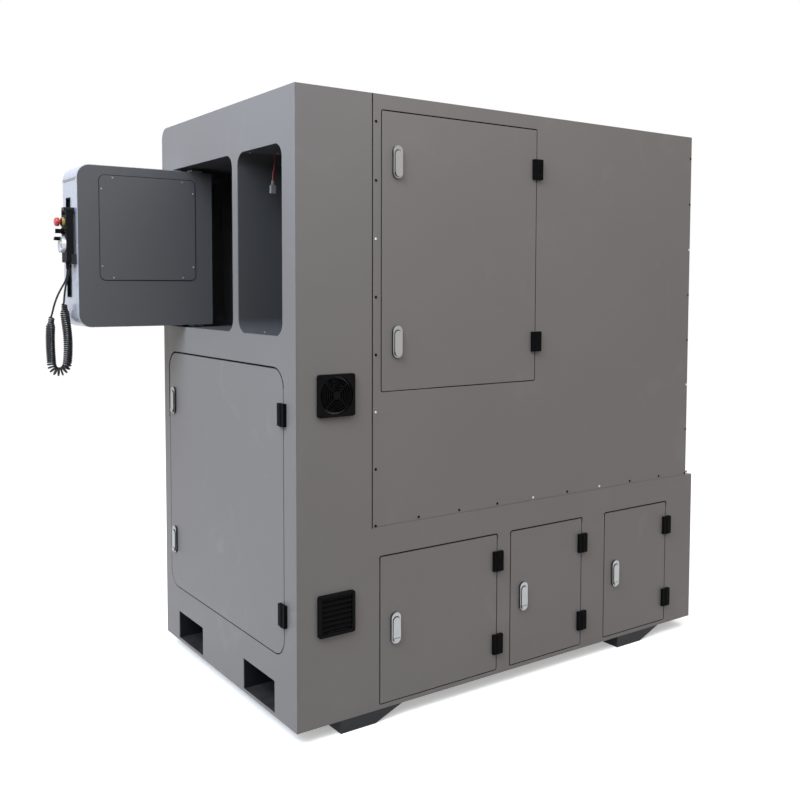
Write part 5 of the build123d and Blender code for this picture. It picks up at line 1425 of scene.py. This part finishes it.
@dataclass
class ElectricalCabinet:
    """Drives, wiring ducts and breakers on the mounting plate behind the end door."""

    face: float = 629.5 * MM
    side: float = -447.0 * MM
    length: float = 894.0 * MM
    top: float = 1245.0 * MM
    duct: float = 45.0 * MM
    lower_duct: float = 855.0 * MM
    lid_play: float = 2.0 * MM
    lid_form: Sizes = mm(1.6, 1.0, 0.6)
    slot_form: Sizes = mm(30.0, 4.5, 0.3)
    slot_depth: float = 22.0 * MM
    slot_start: float = 18.0 * MM
    slot_pitch: float = 12.5 * MM
    drive_width: float = 90.0 * MM
    drive_height: float = 300.0 * MM
    drive_depth: float = 140.0 * MM
    drive_pitch: float = 120.0 * MM
    drive_count: int = 4
    drive_front: Sizes = mm(86.0, 292.0, 3.0, 5.0, 1.0)
    fittings: tuple[Fitting, ...] = (
        Fitting("drive_displays", mm(46.0, 20.0, 0.9, 2.0, 0.3), SCREEN_GLASS, "black_plastic", 104.0 * MM),
        Fitting("drive_keys", mm(9.0, 7.0, 1.4, 1.5, 0.4), KEY_GREY, "grey_plastic", 80.0 * MM, 4,
                mm(13.0, 0.0)),
        Fitting("drive_slots", mm(58.0, 3.2, 0.3, 1.2), SEAL_RUBBER, "black_plastic", -26.0 * MM, 9,
                mm(0.0, 9.0)),
        Fitting("drive_terminals", mm(8.0, 16.0, 6.0, 1.0, 0.6), KEY_GREEN, "grey_plastic", -118.0 * MM, 8,
                mm(9.0, 0.0)),
    )
    breaker_width: float = 36.0 * MM
    breaker_height: float = 85.0 * MM
    breaker_depth: float = 70.0 * MM
    breaker_pitch: float = 42.0 * MM
    breaker_count: int = 6
    breaker_face: Sizes = mm(34.0, 83.0, 1.6, 1.5, 0.5)
    breaker_nose: Sizes = mm(33.0, 42.0, 9.0, 2.0, 1.0)
    toggle: Sizes = mm(12.0, 12.0, 8.0, 2.0, 1.2)
    toggle_rise: float = 6.0 * MM

    def dress(self) -> None:
        """Adds fronts, displays, terminals, duct lids and breaker faces."""
        self.build_drives()
        self.build_ducts()
        self.build_breakers()

    def build_drives(self) -> None:
        """Puts a front, a display, keys, slots and terminals on each drive."""
        x = self.face + self.drive_depth
        start = self.side + self.duct + self.drive_width / 2
        middle = self.top - self.duct - self.drive_height / 2
        across = [start + index * self.drive_pitch for index in range(self.drive_count)]
        places = [Wall.END.place((x, y, middle)) for y in across]
        panels("drive_fronts", places, DRIVE_CASE, "frame", "grey_plastic", self.drive_front)
        x += self.drive_front[2]
        for row in self.fittings:
            steps = [step - (row.count - 1) / 2 for step in range(row.count)]
            places = [Wall.END.place((x, y + step * row.pitch[0], middle + row.rise + step * row.pitch[1]))
                      for y in across for step in steps]
            panels(row.name, places, row.finish, "frame", row.slot, row.form)

    def build_ducts(self) -> None:
        """Puts a lid on each wiring duct and slots in its upper and lower sides."""
        feet = (self.top - self.duct, self.lower_duct)
        middle = self.side + self.length / 2
        lids = [Wall.END.place((self.face + self.duct, middle, foot + self.duct / 2)) for foot in feet]
        form = (self.length - self.lid_play, self.duct - self.lid_play, *self.lid_form)
        panels("duct_lids", lids, DUCT_GREY, "frame", "grey_plastic", form)
        x = self.face + self.slot_depth
        across = [self.side + self.slot_start + index * self.slot_pitch
                  for index in range(int(self.length / self.slot_pitch) - 2)]
        slots = [wall.place((x, y, z)) for foot in feet for y in across
                 for wall, z in ((Wall.UNDER, foot), (Wall.UPPER, foot + self.duct))]
        panels("duct_slots", slots, SEAL_RUBBER, "frame", "black_plastic", self.slot_form)

    def build_breakers(self) -> None:
        """Puts a stepped face and a toggle on each breaker."""
        x = self.face + self.breaker_depth
        middle = self.top - self.duct - self.breaker_height / 2
        start = self.side + self.duct + self.drive_count * self.drive_pitch + self.breaker_width / 2
        across = [start + index * self.breaker_pitch for index in range(self.breaker_count)]
        faces = [Wall.END.place((x, y, middle)) for y in across]
        panels("breaker_faces", faces, WHITE_PLASTIC, "frame", "white_plastic", self.breaker_face,
               self.breaker_nose)
        x += self.breaker_nose[2]
        toggles = [Wall.END.place((x, y, middle + self.toggle_rise)) for y in across]
        panels("breaker_toggles", toggles, BLACK_PLASTIC, "frame", "black_plastic", self.toggle)


@dataclass
class MillingUnit:
    """Bed, column, saddle, table, head and spindle."""

    edge: float = 3.0 * MM
    ground_edge: float = 0.8 * MM
    castings: tuple[str, ...] = ("bed_casting", "column_casting", "spindle_head")

    def dress(self) -> None:
        """Softens the edges of the castings and the table."""
        for name in self.castings:
            soften_node(name, self.edge)
        soften_node("table", self.ground_edge)


@dataclass
class WorkDoor:
    """Sliding work door with its window gasket."""

    edge: float = 0.9 * MM
    face: float = -585.0 * MM
    lap: float = 14.0 * MM
    gasket_breadth: float = 20.0 * MM
    gasket_out: float = 11.0 * MM
    gasket_height: float = 3.5 * MM
    corner: float = 30.0 * MM

    def dress(self) -> None:
        """Softens the door and lays a rubber gasket round its window."""
        soften_node("front_door", self.edge)
        low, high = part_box("front_window")
        size, middle = high - low, (high + low) / 2
        grown = 2 * (self.gasket_out - self.lap)
        gasket = band(size.x + grown, size.z + grown, self.gasket_breadth, self.gasket_height,
                      self.corner + self.gasket_out)
        place = Wall.FRONT.place((middle.x, self.face, middle.z))
        piece("window_gasket", moved(gasket, place), SEAL_RUBBER, "work_door", "black_plastic")


def main() -> None:
    """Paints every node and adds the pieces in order."""
    logging.basicConfig(level=logging.INFO, format="%(name)s %(message)s")
    Studio().build()
    for part in frame["record"]["subparts"]:
        paint_node(part["node"], SLOT_FINISHES[part["material_slot"]])
    CurlyCord().build()
    BayLead().build()
    for assembly in (Enclosure(), Doors(), Vents(), ControlBox(), Pendant(), ElectricalCabinet(),
                     MillingUnit(), WorkDoor()):
        assembly.dress()


if __name__ == "__main__":
    main()
